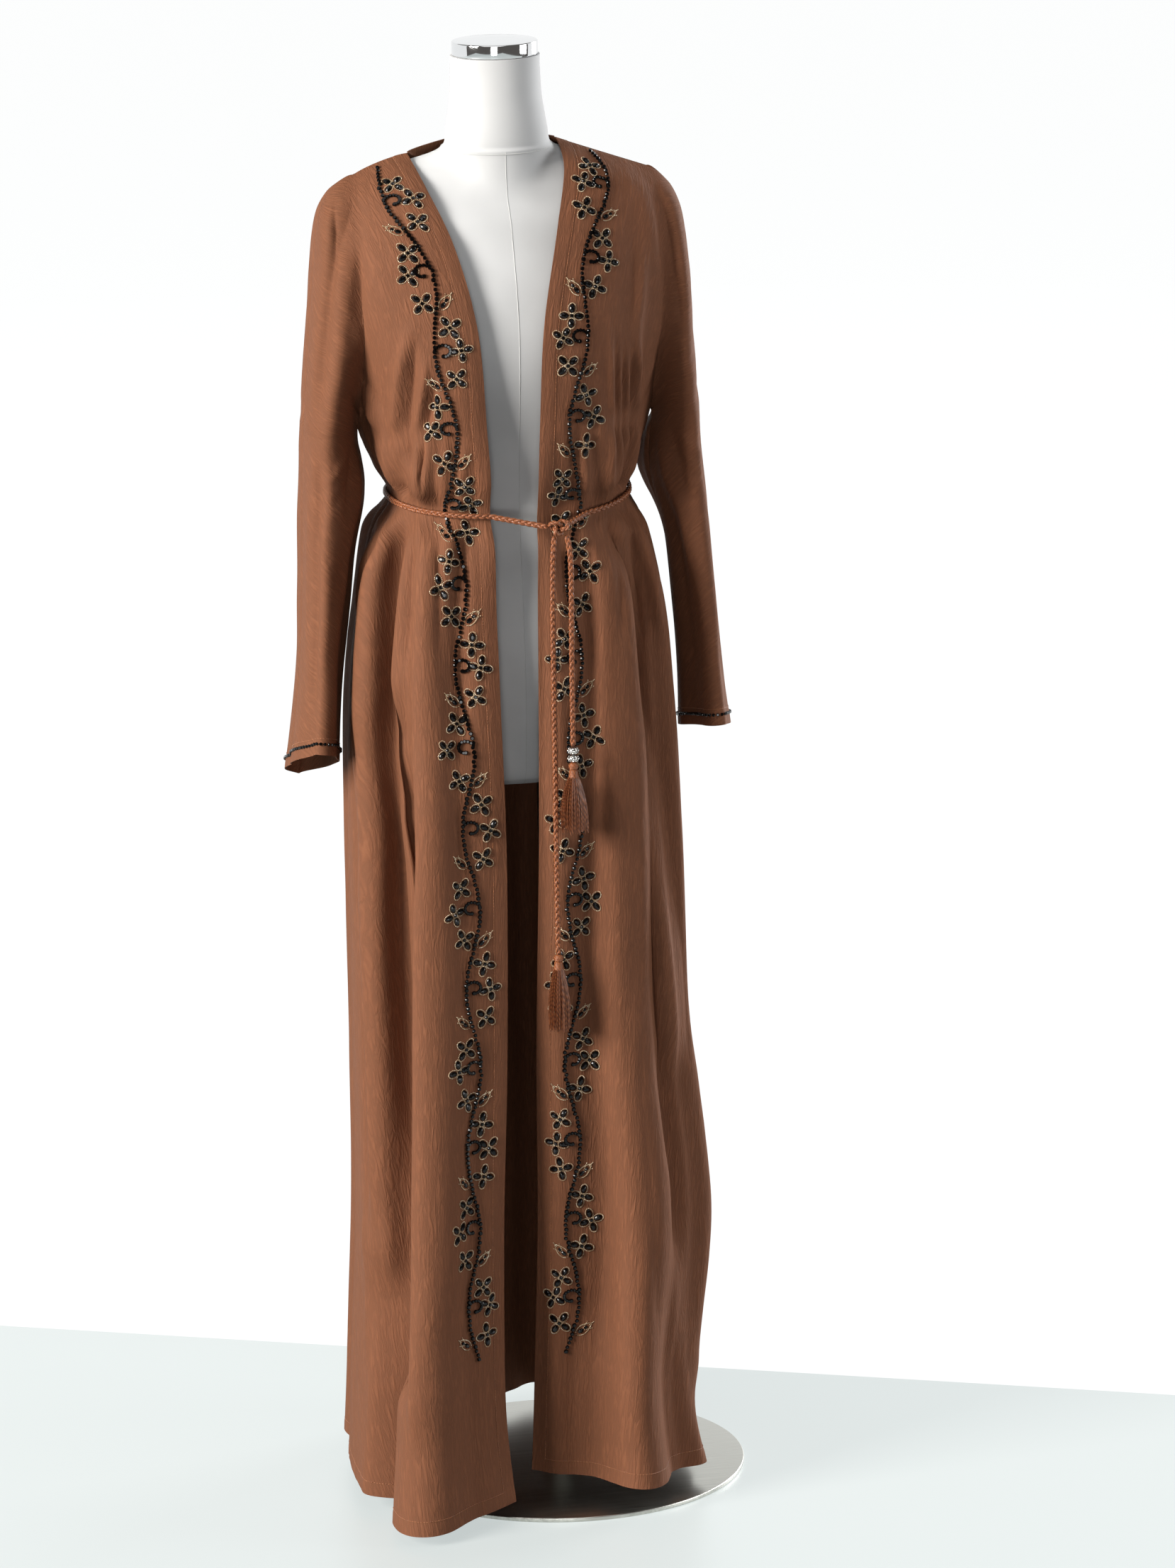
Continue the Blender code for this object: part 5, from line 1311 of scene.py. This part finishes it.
def make_belt(cord):
    ring = belt_ring()
    left_gate = KNOT_CENTRE + [-KNOT_SIZE[0] - KNOT_ROOM + 3 * MM, 0.0, 0.5 * MM]
    right_gate = KNOT_CENTRE + [KNOT_SIZE[0] + KNOT_ROOM - 3 * MM, 0.0, 3 * MM]
    keep = len(ring)
    while ring[keep - 1][0] < right_gate[0] + 2 * KNOT_SIZE[0]:
        keep -= 1
    route = np.concatenate([[left_gate, 0.5 * (left_gate + ring[0])], ring[:keep], [right_gate]])
    even, _ = resampled(route, 9 * MM)
    waist, _ = plait("belt_plait_waist", smooth_path(even, 700), cord)
    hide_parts("belt_round_waist")

    turns = np.linspace(0, 2 * np.pi, 90)
    knot_path = np.column_stack(
        [
            (np.sin(turns) + 2 * np.sin(2 * turns)) / 3.0 * (KNOT_SIZE[0] - 2.2 * MM),
            np.sin(3 * turns) * -(KNOT_SIZE[1] - 4.6 * MM) - 1.0 * MM,
            (np.cos(turns) - 2 * np.cos(2 * turns)) / 3.0 * (KNOT_SIZE[2] - 1.2 * MM),
        ]
    )
    knot, _ = plait("belt_plait_knot", knot_path + KNOT_CENTRE, cord, width=5.8 * MM, step=0.9 * MM)
    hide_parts("belt_knot")
    return [waist, knot]


TASSEL_HEAD = 16 * MM
TASSEL_RADIUS = 5.6 * MM
TASSEL_THREAD = 0.42 * MM
GOLDEN_ANGLE = 2.399963


def tassel_head():
    """Radius and height pairs of the bound head: a crown, a neck and a skirt, wound with thread."""
    profile = []
    for share in np.linspace(0, 1, 49):
        if share < 0.5:
            wide = TASSEL_RADIUS * (0.30 + 0.66 * math.sin(math.pi * min(share * 1.9, 1.0)) ** 0.5)
        else:
            wide = TASSEL_RADIUS * (0.80 + 0.16 * (share - 0.5) * 2)
        groove = 0.25 * MM * math.cos(2 * math.pi * share * 13)
        profile.append((wide + groove, -share * TASSEL_HEAD))
    return profile


def make_tassel(name, node, top, length, spread, strands, cord, seed):
    """A bound head, with threads that fall from it and part towards their ends."""
    random = np.random.RandomState(seed)
    points, faces = spun(tassel_head(), 28)
    start = 1.5 * MM - TASSEL_HEAD
    paths = []
    for k in range(strands):
        ring = math.sqrt((k + 0.5) / strands)
        angle = k * GOLDEN_ANGLE
        way = np.array([math.cos(angle), math.sin(angle)])
        sway = random.normal(0, 0.8 * MM, 2)
        reach = length * random.uniform(0.93, 1.0)
        path = []
        for share in np.linspace(0, 1, 7):
            out = ring * (TASSEL_RADIUS * 0.88 * (1 - share) + spread * (1 - (1 - share) ** 2.2))
            wave = 0.5 * MM * math.sin(7 * share + k) * share
            place = way * out + sway * share**1.5 + wave
            path.append((place[0], place[1], start - (reach + start) * share))
        paths.append(np.array(path))
    threads, thread_faces = tube_mesh(paths, TASSEL_THREAD, 3)
    faces += [tuple(k + len(points) for k in face) for face in thread_faces]
    piece = new_piece(name, np.concatenate([points, threads]) + np.asarray(top), faces, cord, sharp=80)
    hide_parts(node)
    return piece


def ball(sides, rings):
    """A sphere of radius 1."""
    points, faces = [], []
    for r in range(rings + 1):
        polar = math.pi * r / rings
        points += [(x, y, math.cos(polar)) for x, y in round_points(math.sin(polar), sides)]
    for r in range(rings):
        for k in range(sides):
            a, b = r * sides + k, r * sides + (k + 1) % sides
            if r == 0:
                faces.append((a, a + sides, b + sides))
            elif r == rings - 1:
                faces.append((a, a + sides, b))
            else:
                faces.append((a, a + sides, b + sides, b))
    return points, faces


# Rings of grains on a metal bead. height and reach: shares of its half height and radius.
GrainRing = namedtuple("GrainRing", "height reach count size shift")
GRAIN_RINGS = (
    GrainRing(0.0, 0.90, 12, 1.15 * MM, 0.0),
    GrainRing(0.52, 0.74, 9, 0.9775 * MM, 0.5),
    GrainRing(-0.52, 0.74, 9, 0.9775 * MM, 0.5),
)


def make_filigree_bead(node, silver):
    """A cast round bead with rings of grains."""
    low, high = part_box(node)
    middle = np.array((low + high) / 2)
    radius, half = (high[0] - low[0]) / 2, (high[2] - low[2]) / 2
    core = [(middle, *np.diag([radius * 0.86, radius * 0.86, half]))]
    grains = []
    for ring in GRAIN_RINGS:
        for x, y in round_points(radius * ring.reach, ring.count, ring.shift):
            grains.append((middle + [x, y, half * ring.height], *(np.eye(3) * ring.size)))
    name = node.replace("belt_bead", "filigree_bead")
    piece = stamp(name, (ball(20, 12), ball(8, 6)), (core, grains), silver)
    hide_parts(node)
    return piece


# The dress form and its stand
NECK_ROOT = (0.0565, 0.0500)  # half width and depth that the neck keeps as it runs into the chest
ROOT_BLEND = 3.0 * MM


def neck_root(x, y, height):
    """How far a point of the torso moves out, so that the neck runs smoothly into chest and back."""
    own = np.hypot(x, y)
    neck = 1 / np.sqrt((x / own / NECK_ROOT[0]) ** 2 + (y / own / NECK_ROOT[1]) ** 2)
    wider = own + ROOT_BLEND * np.log1p(np.exp((neck - own) / ROOT_BLEND))
    strength = smooth((height - 1.400) / 0.030) * smooth((1.4915 - height) / 0.004)
    return 1 + (wider / own - 1) * strength


def torso_rings(stations, angles):
    """The torso's points at stations of its table, a ring of the given angles for each."""
    rings = []
    for height, half_width, front, back, power in catmull(np.array(TORSO), stations):
        c, s = np.cos(angles), np.sin(angles)
        x = half_width * np.sign(c) * np.abs(c) ** (2 / power)
        y = np.where(s > 0, back, front) * np.sign(s) * np.abs(s) ** (2 / power)
        reach = neck_root(x, y, height)
        level = np.full(len(angles), height)
        rings.append(np.column_stack([x * reach + TORSO_X + FORM_X, y * reach, level]))
    return np.array(rings)


FORM_SIDES = 112
SEAM_ENDS = (0.6, 18.6)  # stations of the torso's table
COLLAR_SEAM = 18.75
COLLAR_DIP = 5.5 * MM  # the collar's seam is lower at the back


def make_form(cover, seam):
    """The covered torso and neck, with its seams as narrow welts."""
    angles = 2 * np.pi * (np.arange(FORM_SIDES) + 0.5) / FORM_SIDES
    rings = torso_rings(np.linspace(0, len(TORSO) - 1, 185), angles)
    index = np.arange(rings.shape[0] * FORM_SIDES).reshape(-1, FORM_SIDES)
    following = np.roll(index, -1, axis=1)
    quads = np.stack([index[:-1], following[:-1], following[1:], index[1:]], axis=-1)
    faces = quads.reshape(-1, 4).tolist() + [index[0][::-1].tolist(), index[-1].tolist()]
    piece = new_piece("form_cover", rings.reshape(-1, 3), faces, cover, sharp=50)
    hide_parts("dress_form")

    uprights = torso_rings(np.linspace(*SEAM_ENDS, 90), np.array([-math.pi / 2, math.pi / 2]))
    turn = np.linspace(0, 2 * np.pi, 73)
    collar = torso_rings([COLLAR_SEAM], turn)[0]
    collar[:, 2] -= COLLAR_DIP * (0.5 - 0.5 * np.sin(turn)) - 0.4 * COLLAR_DIP
    points, faces = tube_mesh([uprights[:, 0], uprights[:, 1], collar], 0.40 * MM, 6)
    return [piece, new_piece("form_seams", points, faces, seam)]


def turned(name, node, profile, sides, material, centre=(0.0, 0.0)):
    """A turned piece from radius and height pairs, top to bottom, in place of a node."""
    points, faces = spun(profile, sides, centre)
    piece = new_piece(name, points, faces, material, sharp=35)
    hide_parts(node)
    return piece


AXIS = 0.1 * MM  # the radius at which a turned profile ends


def rounded(radius, low, high, edge, steps=5):
    """A disc's outer profile with rounded edges, top to bottom."""
    profile = [(AXIS, high), (radius * 0.5, high)]
    bends = [0.5 * math.pi * k / steps for k in range(steps + 1)]
    inner = radius - edge
    profile += [(inner + edge * math.sin(bend), high - edge + edge * math.cos(bend)) for bend in bends]
    profile += [(inner + edge * math.cos(bend), low + edge - edge * math.sin(bend)) for bend in bends]
    return profile + [(radius * 0.5, low), (AXIS, low)]


def make_stand(steel, chrome, steel_pole):
    low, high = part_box("base_plate")
    plate = turned("stand_plate", "base_plate", rounded(high[0], low[2], high[2], 1.2 * MM), 160, steel)
    low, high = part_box("neck_cap")
    profile = rounded((high[0] - low[0]) / 2, low[2], high[2], 1.4 * MM)
    cap = turned("cap_disc", "neck_cap", profile, 96, chrome, np.array(low + high)[:2] / 2)
    low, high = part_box("pole_foot")
    radius = high[0]
    profile = (
        (AXIS, high[2]),
        (radius * 0.62, high[2]),
        (radius * 0.70, high[2] - 0.8 * MM),
        (radius * 0.72, low[2] + 5 * MM),
        (radius * 0.80, low[2] + 3.4 * MM),
        (radius * 0.97, low[2] + 2.6 * MM),
        (radius, low[2] + 2.0 * MM),
        (radius, low[2]),
        (AXIS, low[2]),
    )
    collar = turned("pole_collar", "pole_foot", profile, 48, steel_pole)
    low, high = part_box("stand_pole")
    tube = turned("pole_tube", "stand_pole", rounded(high[0], low[2], high[2], 0.8 * MM), 48, steel_pole)
    return [plate, cap, collar, tube]


# Materials
def linear(colour):
    """An sRGB hex colour as linear red, green, blue and alpha."""
    channels = [int(colour[k : k + 2], 16) / 255 for k in (1, 3, 5)]
    channels = [c / 12.92 if c <= 0.04045 else ((c + 0.055) / 1.055) ** 2.4 for c in channels]
    return (*channels, 1.0)


def add(tree, kind, settings=(), links=()):
    """A node with its settings and its links: (input, node, output)."""
    node = tree.nodes.new(kind)
    for key, value in dict(settings).items():
        if isinstance(key, str) and hasattr(node, key):
            setattr(node, key, value)
        else:
            node.inputs[key].default_value = value
    for socket, source, output in links:
        tree.links.new(source.outputs[output], node.inputs[socket])
    return node


def new_material(name, shader_settings):
    material = bpy.data.materials.new(name)
    material.use_nodes = True
    tree = material.node_tree
    tree.nodes.clear()
    shader = add(tree, "ShaderNodeBsdfPrincipled", shader_settings)
    add(tree, "ShaderNodeOutputMaterial", links=[("Surface", shader, "BSDF")])
    return material, tree, shader


def ramp(tree, source, output, stops):
    """Colours along a value. stops: (position, hex colour)."""
    node = add(tree, "ShaderNodeValToRGB", links=[("Fac", source, output)])
    elements = node.color_ramp.elements
    while len(elements) < len(stops):
        elements.new(0.5)
    for element, (position, colour) in zip(elements, stops):
        element.position = position
        element.color = linear(colour)
    return node


def noise(tree, scale, detail=2.0, place=None, **settings):
    """Lumps, scale of them to the metre on the piece's own axes, or on a mapped place."""
    source, output = (place, "Vector") if place else (add(tree, "ShaderNodeTexCoord"), "Object")
    settings = {"Scale": scale, "Detail": detail, **settings}
    return add(tree, "ShaderNodeTexNoise", settings, [("Vector", source, output)])


def mapped(tree, source, output, **settings):
    return add(tree, "ShaderNodeMapping", settings, [("Vector", source, output)])


def feed(shader, socket, source, output):
    shader.id_data.links.new(source.outputs[output], shader.inputs[socket])


def bump(tree, strength, distance, source, output, under=None):
    """Relief from a value. under: a finer bump that it lies on."""
    links = [("Height", source, output)] + ([("Normal", under, "Normal")] if under else [])
    return add(tree, "ShaderNodeBump", {"Strength": strength, "Distance": distance}, links)


def between(tree, low, high, source, output):
    """A value of 0 to 1 spread over a range."""
    return add(tree, "ShaderNodeMapRange", {"To Min": low, "To Max": high}, [("Value", source, output)])


CRINKLE = (4.2 * MM, 30 * MM, 1.0)  # a crinkle's width and length
CRINKLE_HEIGHT = 2.2 * MM
THREADS = (0.8 * MM, 1.1 * MM, 1.0)  # 0.25 mm in the real cloth, and wider here so that they show
SLEEVE_SLANT = 0.85  # radians


def crinkled_crepe():
    """Polyester crepe, heat set in long fine crinkles: matt, with a soft bloom at the grazing edge."""
    material, tree, shader = new_material(
        "crinkled_crepe",
        {
            "Roughness": 0.72,
            "Specular IOR Level": 0.10,
            "Sheen Weight": 0.05,
            "Sheen Roughness": 0.40,
            "Sheen Tint": linear("#e6b48f"),
        },
    )
    place = add(tree, "ShaderNodeAttribute", {"attribute_name": "cloth_place"})
    apart = add(tree, "ShaderNodeSeparateXYZ", links=[("Vector", place, "Vector")])
    # crinkles follow the warp, which runs down the body and slants across a sleeve
    kinds = []
    for slant in (0.0, SLEEVE_SLANT):
        turned_place = mapped(
            tree, place, "Vector", vector_type="TEXTURE", Rotation=(0.0, 0.0, slant), Scale=CRINKLE
        )
        lumps = noise(tree, 1.0, 3.0, turned_place, Roughness=0.55, Distortion=0.5)
        # the fold of the noise about its middle gives narrow crests with wide hollows
        centred = add(tree, "ShaderNodeMath", {"operation": "SUBTRACT", 1: 0.5}, [(0, lumps, "Fac")])
        kinds.append(add(tree, "ShaderNodeMath", {"operation": "ABSOLUTE"}, [(0, centred, "Value")]))
    crinkle = add(
        tree,
        "ShaderNodeMix",
        {"data_type": "FLOAT"},
        [("Factor", apart, "Z"), ("A", kinds[0], "Value"), ("B", kinds[1], "Value")],
    )
    weave = noise(tree, 1.0, 1.0, mapped(tree, place, "Vector", vector_type="TEXTURE", Scale=THREADS))
    # painted shade: the colour follows the crinkles' relief, darker in their troughs and lighter on their
    # crests
    tone = ramp(tree, crinkle, "Result", [(0.00, "#6a4531"), (0.08, "#704833"), (0.22, "#784e37")])
    feed(shader, "Base Color", tone, "Color")
    fine = bump(tree, 0.35, 0.25 * MM, weave, "Fac")
    feed(shader, "Normal", bump(tree, 1.0, CRINKLE_HEIGHT, crinkle, "Result", under=fine), "Normal")
    return material


def black_glass():
    """Pressed and fire polished glass beads: black, with a hard bright point on each facet."""
    material, tree, shader = new_material(
        "cut_black_glass",
        {"Base Color": linear("#050404"), "IOR": 1.52, "Specular IOR Level": 0.24},
    )
    smudge = noise(tree, 900.0, 1.0)
    feed(shader, "Roughness", between(tree, 0.03, 0.12, smudge, "Fac"), "Result")
    return material


def gold_seed():
    """Clear seed beads lined with pale gold: each one a small warm spark."""
    material, tree, shader = new_material(
        "gold_lined_seeds", {"Metallic": 0.25, "Roughness": 0.30, "Specular IOR Level": 0.6}
    )
    vary = noise(tree, 420.0, 1.0)
    tone = ramp(tree, vary, "Fac", [(0.3, "#94785a"), (0.5, "#c4ad8c"), (0.7, "#e6dac2")])
    feed(shader, "Base Color", tone, "Color")
    return material


def topstitch_thread():
    """Spun polyester sewing thread, orange gold, slightly glossy."""
    material, tree, shader = new_material("topstitch_thread", {"Roughness": 0.5, "Sheen Weight": 0.2})
    vary = noise(tree, 260.0)
    feed(shader, "Base Color", ramp(tree, vary, "Fac", [(0.35, "#7d4722"), (0.65, "#a06334")]), "Color")
    return material


def braided_viscose():
    """Twisted viscose cord: fine slanting threads and a satin lustre."""
    material, tree, shader = new_material(
        "braided_viscose",
        {"Roughness": 0.38, "Sheen Weight": 0.05, "Sheen Roughness": 0.3, "Specular IOR Level": 0.35},
    )
    place = add(tree, "ShaderNodeTexCoord")
    slanted = mapped(tree, place, "Object", Rotation=(0.5, 0.7, 0.3), Scale=(1.0, 1.0, 0.25))
    # threads about 0.5 mm apart
    threads = add(
        tree,
        "ShaderNodeTexWave",
        {"Scale": 1 / (3.2 * MM), "Distortion": 2.0, "Detail": 1.0, "Detail Scale": 2.0},
        [("Vector", slanted, "Vector")],
    )
    # painted shade and highlight: the colour follows the threads' relief, darker in the grooves between them
    # and lighter on their crests
    tone = ramp(tree, threads, "Fac", [(0.0, "#4e2a19"), (0.55, "#82492b"), (1.0, "#a4663f")])
    feed(shader, "Base Color", tone, "Color")
    feed(shader, "Normal", bump(tree, 0.5, 0.2 * MM, threads, "Fac"), "Normal")
    return material


def cast_silver():
    """Cast white metal with a silver plate, dark where polish does not reach."""
    material, tree, shader = new_material("cast_silver", {"Metallic": 1.0, "Roughness": 0.27})
    stain = noise(tree, 700.0)
    tone = ramp(tree, stain, "Fac", [(0.38, "#6d6a66"), (0.52, "#c9c8c5"), (0.7, "#e9e8e6")])
    feed(shader, "Base Color", tone, "Color")
    return material


def jersey_cover(name, colour_low, colour_high):
    """Bleached cotton jersey stretched over the form: matt, with a fine even knit and a soft cast."""
    material, tree, shader = new_material(name, {"Roughness": 0.85, "Sheen Weight": 0.15})
    tone = ramp(tree, noise(tree, 14.0), "Fac", [(0.3, colour_low), (0.7, colour_high)])
    feed(shader, "Base Color", tone, "Color")
    knit = noise(tree, 1 / (0.9 * MM), 1.0)
    feed(shader, "Normal", bump(tree, 0.15, 0.15 * MM, knit, "Fac"), "Normal")
    return material


def polished_chrome():
    """Chromium plate on a turned cap: a mirror with a faint wipe."""
    material, tree, shader = new_material(
        "polished_chrome", {"Base Color": linear("#e6e7e8"), "Metallic": 1.0}
    )
    wipe = noise(tree, 60.0)
    feed(shader, "Roughness", between(tree, 0.03, 0.10, wipe, "Fac"), "Result")
    return material


def brushed_stainless(name, hair_size, detail):
    """Stainless steel, satin from brushing. hair_size: a hair line's extent along x, y and z."""
    material, tree, shader = new_material(name, {"Metallic": 1.0, "Roughness": 0.33})
    place = add(tree, "ShaderNodeTexCoord")
    lines = mapped(tree, place, "Object", Scale=tuple(1 / size for size in hair_size))
    hair = noise(tree, 1.0, detail, lines)
    feed(shader, "Base Color", ramp(tree, hair, "Fac", [(0.3, "#b3b3ac"), (0.7, "#cfcfc8")]), "Color")
    feed(shader, "Roughness", between(tree, 0.22, 0.42, hair, "Fac"), "Result")
    feed(shader, "Normal", bump(tree, 0.08, 0.05 * MM, hair, "Fac"), "Normal")
    return material


def studio_surface(name, colour, roughness, glow_colour, glow):
    material, _, _ = new_material(
        name,
        {
            "Base Color": linear(colour),
            "Roughness": roughness,
            "Emission Color": linear(glow_colour),
            "Emission Strength": glow,
        },
    )
    return material


# Camera and studio
PHOTO_WIDTH, PHOTO_HEIGHT = 1658, 2212
CAMERA_PLACE = np.array([-1.3905 + FORM_X, -7.5022, 2.67])
CAMERA_AZIMUTH = math.radians(-10.5)
CAMERA_PITCH = math.radians(13.9)
CAMERA_AIM = math.radians(0.604)
CAMERA_ROLL = math.radians(1.15)
FOCAL_PIXELS = 10150
SENSOR = 36.0
FLOOR_EDGE_LEFT = (0, 1870)  # pixels of the photograph, where the floor sheet ends
FLOOR_EDGE_RIGHT = (1658, 1968)


def camera_axes():
    c, s = math.cos(CAMERA_AZIMUTH), math.sin(CAMERA_AZIMUTH)
    back = np.array([s, -c, 0.0])
    right = np.array([c, s, 0.0])
    up = np.array([0.0, 0.0, 1.0])
    level = -back * math.cos(CAMERA_AIM) + right * math.sin(CAMERA_AIM)
    aside = right * math.cos(CAMERA_AIM) + back * math.sin(CAMERA_AIM)
    forward = level * math.cos(CAMERA_PITCH) - up * math.sin(CAMERA_PITCH)
    above = up * math.cos(CAMERA_PITCH) + level * math.sin(CAMERA_PITCH)
    tilted_right = aside * math.cos(CAMERA_ROLL) - above * math.sin(CAMERA_ROLL)
    tilted_up = aside * math.sin(CAMERA_ROLL) + above * math.cos(CAMERA_ROLL)
    return tilted_right, tilted_up, forward


def make_camera():
    right, up, forward = camera_axes()
    data = bpy.data.cameras.new("camera")
    data.sensor_fit = "VERTICAL"
    data.sensor_height = SENSOR
    data.lens = FOCAL_PIXELS * SENSOR / PHOTO_HEIGHT
    data.clip_end = 100
    camera = bpy.data.objects.new("camera", data)
    axes = Matrix([right, up, -forward]).transposed()
    camera.matrix_world = Matrix.Translation(Vector(CAMERA_PLACE)) @ axes.to_4x4()
    bpy.context.scene.collection.objects.link(camera)
    bpy.context.scene.camera = camera


def floor_at(pixel):
    """The floor point under a pixel of the photograph."""
    right, up, forward = camera_axes()
    ray = forward * FOCAL_PIXELS + right * (pixel[0] - PHOTO_WIDTH / 2) - up * (pixel[1] - PHOTO_HEIGHT / 2)
    return CAMERA_PLACE - ray * CAMERA_PLACE[2] / ray[2]


SWEEP_RADIUS = 9.0
SWEEP_HEIGHT = 7.0
SWEEP_BEND = 2.0
SWEEP_LEVEL = -0.004  # just under the floor sheet
SWEEP_STEPS = 36
SHEET_DEPTH = 9


def make_stage():
    """A pale floor sheet in front of a white sweep, which fills every view."""
    white = studio_surface("white_sweep", "#202020", 0.9, "#fdfefe", 0.97)
    sheet = studio_surface("floor_sheet", "#6c6f6f", 0.40, "#f2fbfa", 0.60)
    left, right = floor_at(FLOOR_EDGE_LEFT), floor_at(FLOOR_EDGE_RIGHT)
    along = right - left
    near = np.array([along[1], -along[0], 0.0]) / np.linalg.norm(along) * SHEET_DEPTH
    left, right = left - along * 4, right + along * 4
    floor = new_piece("floor_sheet", [left, right, right + near, left + near], [(0, 1, 2, 3)], sheet)
    floor.visible_diffuse = False

    profile = [(0.0, SWEEP_LEVEL), (SWEEP_RADIUS - SWEEP_BEND, SWEEP_LEVEL)]
    for k in range(1, 9):
        bend = 0.5 * math.pi * k / 8
        out = SWEEP_RADIUS - SWEEP_BEND * (1 - math.sin(bend))
        profile.append((out, SWEEP_LEVEL + SWEEP_BEND * (1 - math.cos(bend))))
    profile.append((SWEEP_RADIUS, SWEEP_HEIGHT))
    columns = SWEEP_STEPS + 1
    corners = [ring * columns + k for ring in range(len(profile) - 1) for k in range(SWEEP_STEPS)]
    faces = [(a, a + columns, a + columns + 1, a + 1) for a in corners]
    for name, first in (("white_wall", 0.0), ("white_front", math.pi)):
        angles = [first + math.pi * k / SWEEP_STEPS for k in range(columns)]
        points = [(r * math.cos(angle), r * math.sin(angle), z) for r, z in profile for angle in angles]
        half = new_piece(name, points, faces, white)
        half.visible_shadow = False
        half.visible_diffuse = False
        half.visible_glossy = name == "white_wall"


Lamp = namedtuple("Lamp", "name place aim_height size power colour")
LAMPS = (
    Lamp("key", (-5.25, -2.05, 2.9), 0.9, (2.4, 2.8), 765, "#fffaf4"),
    Lamp("top", (-0.4, -1.2, 4.6), 0.8, (2.5, 2.5), 30, "#ffffff"),
    Lamp("rim_right", (4.3, 2.6, 1.8), 1.0, (2.0, 2.6), 260, "#ffffff"),
    Lamp("fill_right", (4.9, -1.6, 1.7), 0.9, (2.0, 2.4), 125, "#ffffff"),
    Lamp("front_low", (-1.2, -5.5, 1.2), 0.8, (1.5, 1.5), 55, "#ffffff"),
)


def make_lights():
    world = bpy.data.worlds.new("studio")
    world.use_nodes = True
    background = world.node_tree.nodes["Background"]
    background.inputs["Color"].default_value = linear("#fff6f0")
    background.inputs["Strength"].default_value = 0.10
    scene = bpy.context.scene
    scene.world = world
    for lamp in LAMPS:
        data = bpy.data.lights.new(lamp.name, "AREA")
        data.shape = "RECTANGLE"
        data.size, data.size_y = lamp.size
        data.energy = lamp.power
        data.color = linear(lamp.colour)[:3]
        light = bpy.data.objects.new(lamp.name, data)
        turn = (Vector((0, 0, lamp.aim_height)) - Vector(lamp.place)).to_track_quat("-Z", "Y")
        light.matrix_world = Matrix.Translation(Vector(lamp.place)) @ turn.to_matrix().to_4x4()
        scene.collection.objects.link(light)
    scene.view_settings.view_transform = "Standard"
    scene.view_settings.look = "None"
    scene.view_settings.exposure = 0.0


def make_belt_ends(cord, silver):
    """The two hanging ends with their tassels. Returns each end, its path and what hangs on it."""
    ends = []
    for name, node, route in (
        ("belt_plait_long", "belt_end_long", LONG_END_ROUTE),
        ("belt_plait_short", "belt_end_short", SHORT_END_ROUTE),
    ):
        points = np.array(route) + [FORM_X, 0, 0]
        piece, path = plait(name, smooth_path(points, 160), cord, flat_side=(0, -1, 0))
        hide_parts(node)
        ends.append((piece, path))
    (long_end, long_path), (short_end, short_path) = ends
    top = long_path[-1] - [0, 0, SEAM_GAP]
    tassel_long = make_tassel("tassel_threads_long", "tassel_long", top, 86 * MM, 11.5 * MM, 120, cord, 5)
    top = (short_path[-1][0], short_path[-1][1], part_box("tassel_short")[1][2])
    tassel_short = make_tassel("tassel_threads_short", "tassel_short", top, 78 * MM, 15 * MM, 120, cord, 6)
    beads = [make_filigree_bead(node, silver) for node in ("belt_bead_upper", "belt_bead_lower")]
    return (long_end, long_path, [tassel_long]), (short_end, short_path, beads + [tassel_short])


def main():
    make_camera()
    crepe, glass, gold_lining = crinkled_crepe(), black_glass(), gold_seed()
    thread, cord, silver = topstitch_thread(), braided_viscose(), cast_silver()

    belt_ends = make_belt_ends(cord, silver)
    pieces = [end for end, _, _ in belt_ends] + [thing for _, _, hung in belt_ends for thing in hung]
    pieces += make_belt(cord)

    right, right_cloth, right_arm = make_front(
        "crepe_front_right", FRONT_RIGHT, SLEEVE_RIGHT, FOLDS_FRONT_RIGHT, CREASES_FRONT_RIGHT, -1, crepe, 11
    )
    left, left_cloth, left_arm = make_front(
        "crepe_front_left", FRONT_LEFT, SLEEVE_LEFT, FOLDS_FRONT_LEFT, CREASES_FRONT_LEFT, 1, crepe, 23
    )
    back, back_cloth, back_arms = make_back("crepe_back", crepe, 37)
    for piece, node in ((right, "front_right"), (left, "front_left"), (back, "back")):
        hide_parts(node)
        pieces.append(piece)
    pieces += make_vine("vine_right", right_cloth, 87.5 * MM, 41, glass, gold_lining)
    pieces += make_vine("vine_left", left_cloth, 89 * MM, 43, glass, gold_lining)
    pieces.append(make_cuff_beads("cuff_beads_right", right_arm, back_arms[0], glass))
    pieces.append(make_cuff_beads("cuff_beads_left", left_arm, back_arms[1], glass))
    arms = (right_arm, left_arm, *back_arms)
    pieces.append(make_stitches((right_cloth, left_cloth), back_cloth, arms, thread))
    pieces += make_form(
        jersey_cover("white_jersey", "#b8babb", "#c2c4c5"),
        jersey_cover("jersey_seam", "#b4b5b4", "#c4c6c5"),
    )
    pieces += make_stand(
        brushed_stainless("brushed_plate", (90 * MM, 1.2 * MM, 5 * MM), 3.0),
        polished_chrome(),
        brushed_stainless("brushed_pole", (0.8 * MM, 0.8 * MM, 60 * MM), 2.0),
    )
    for piece in pieces:
        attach(piece, "root")
    make_stage()
    make_lights()


main()
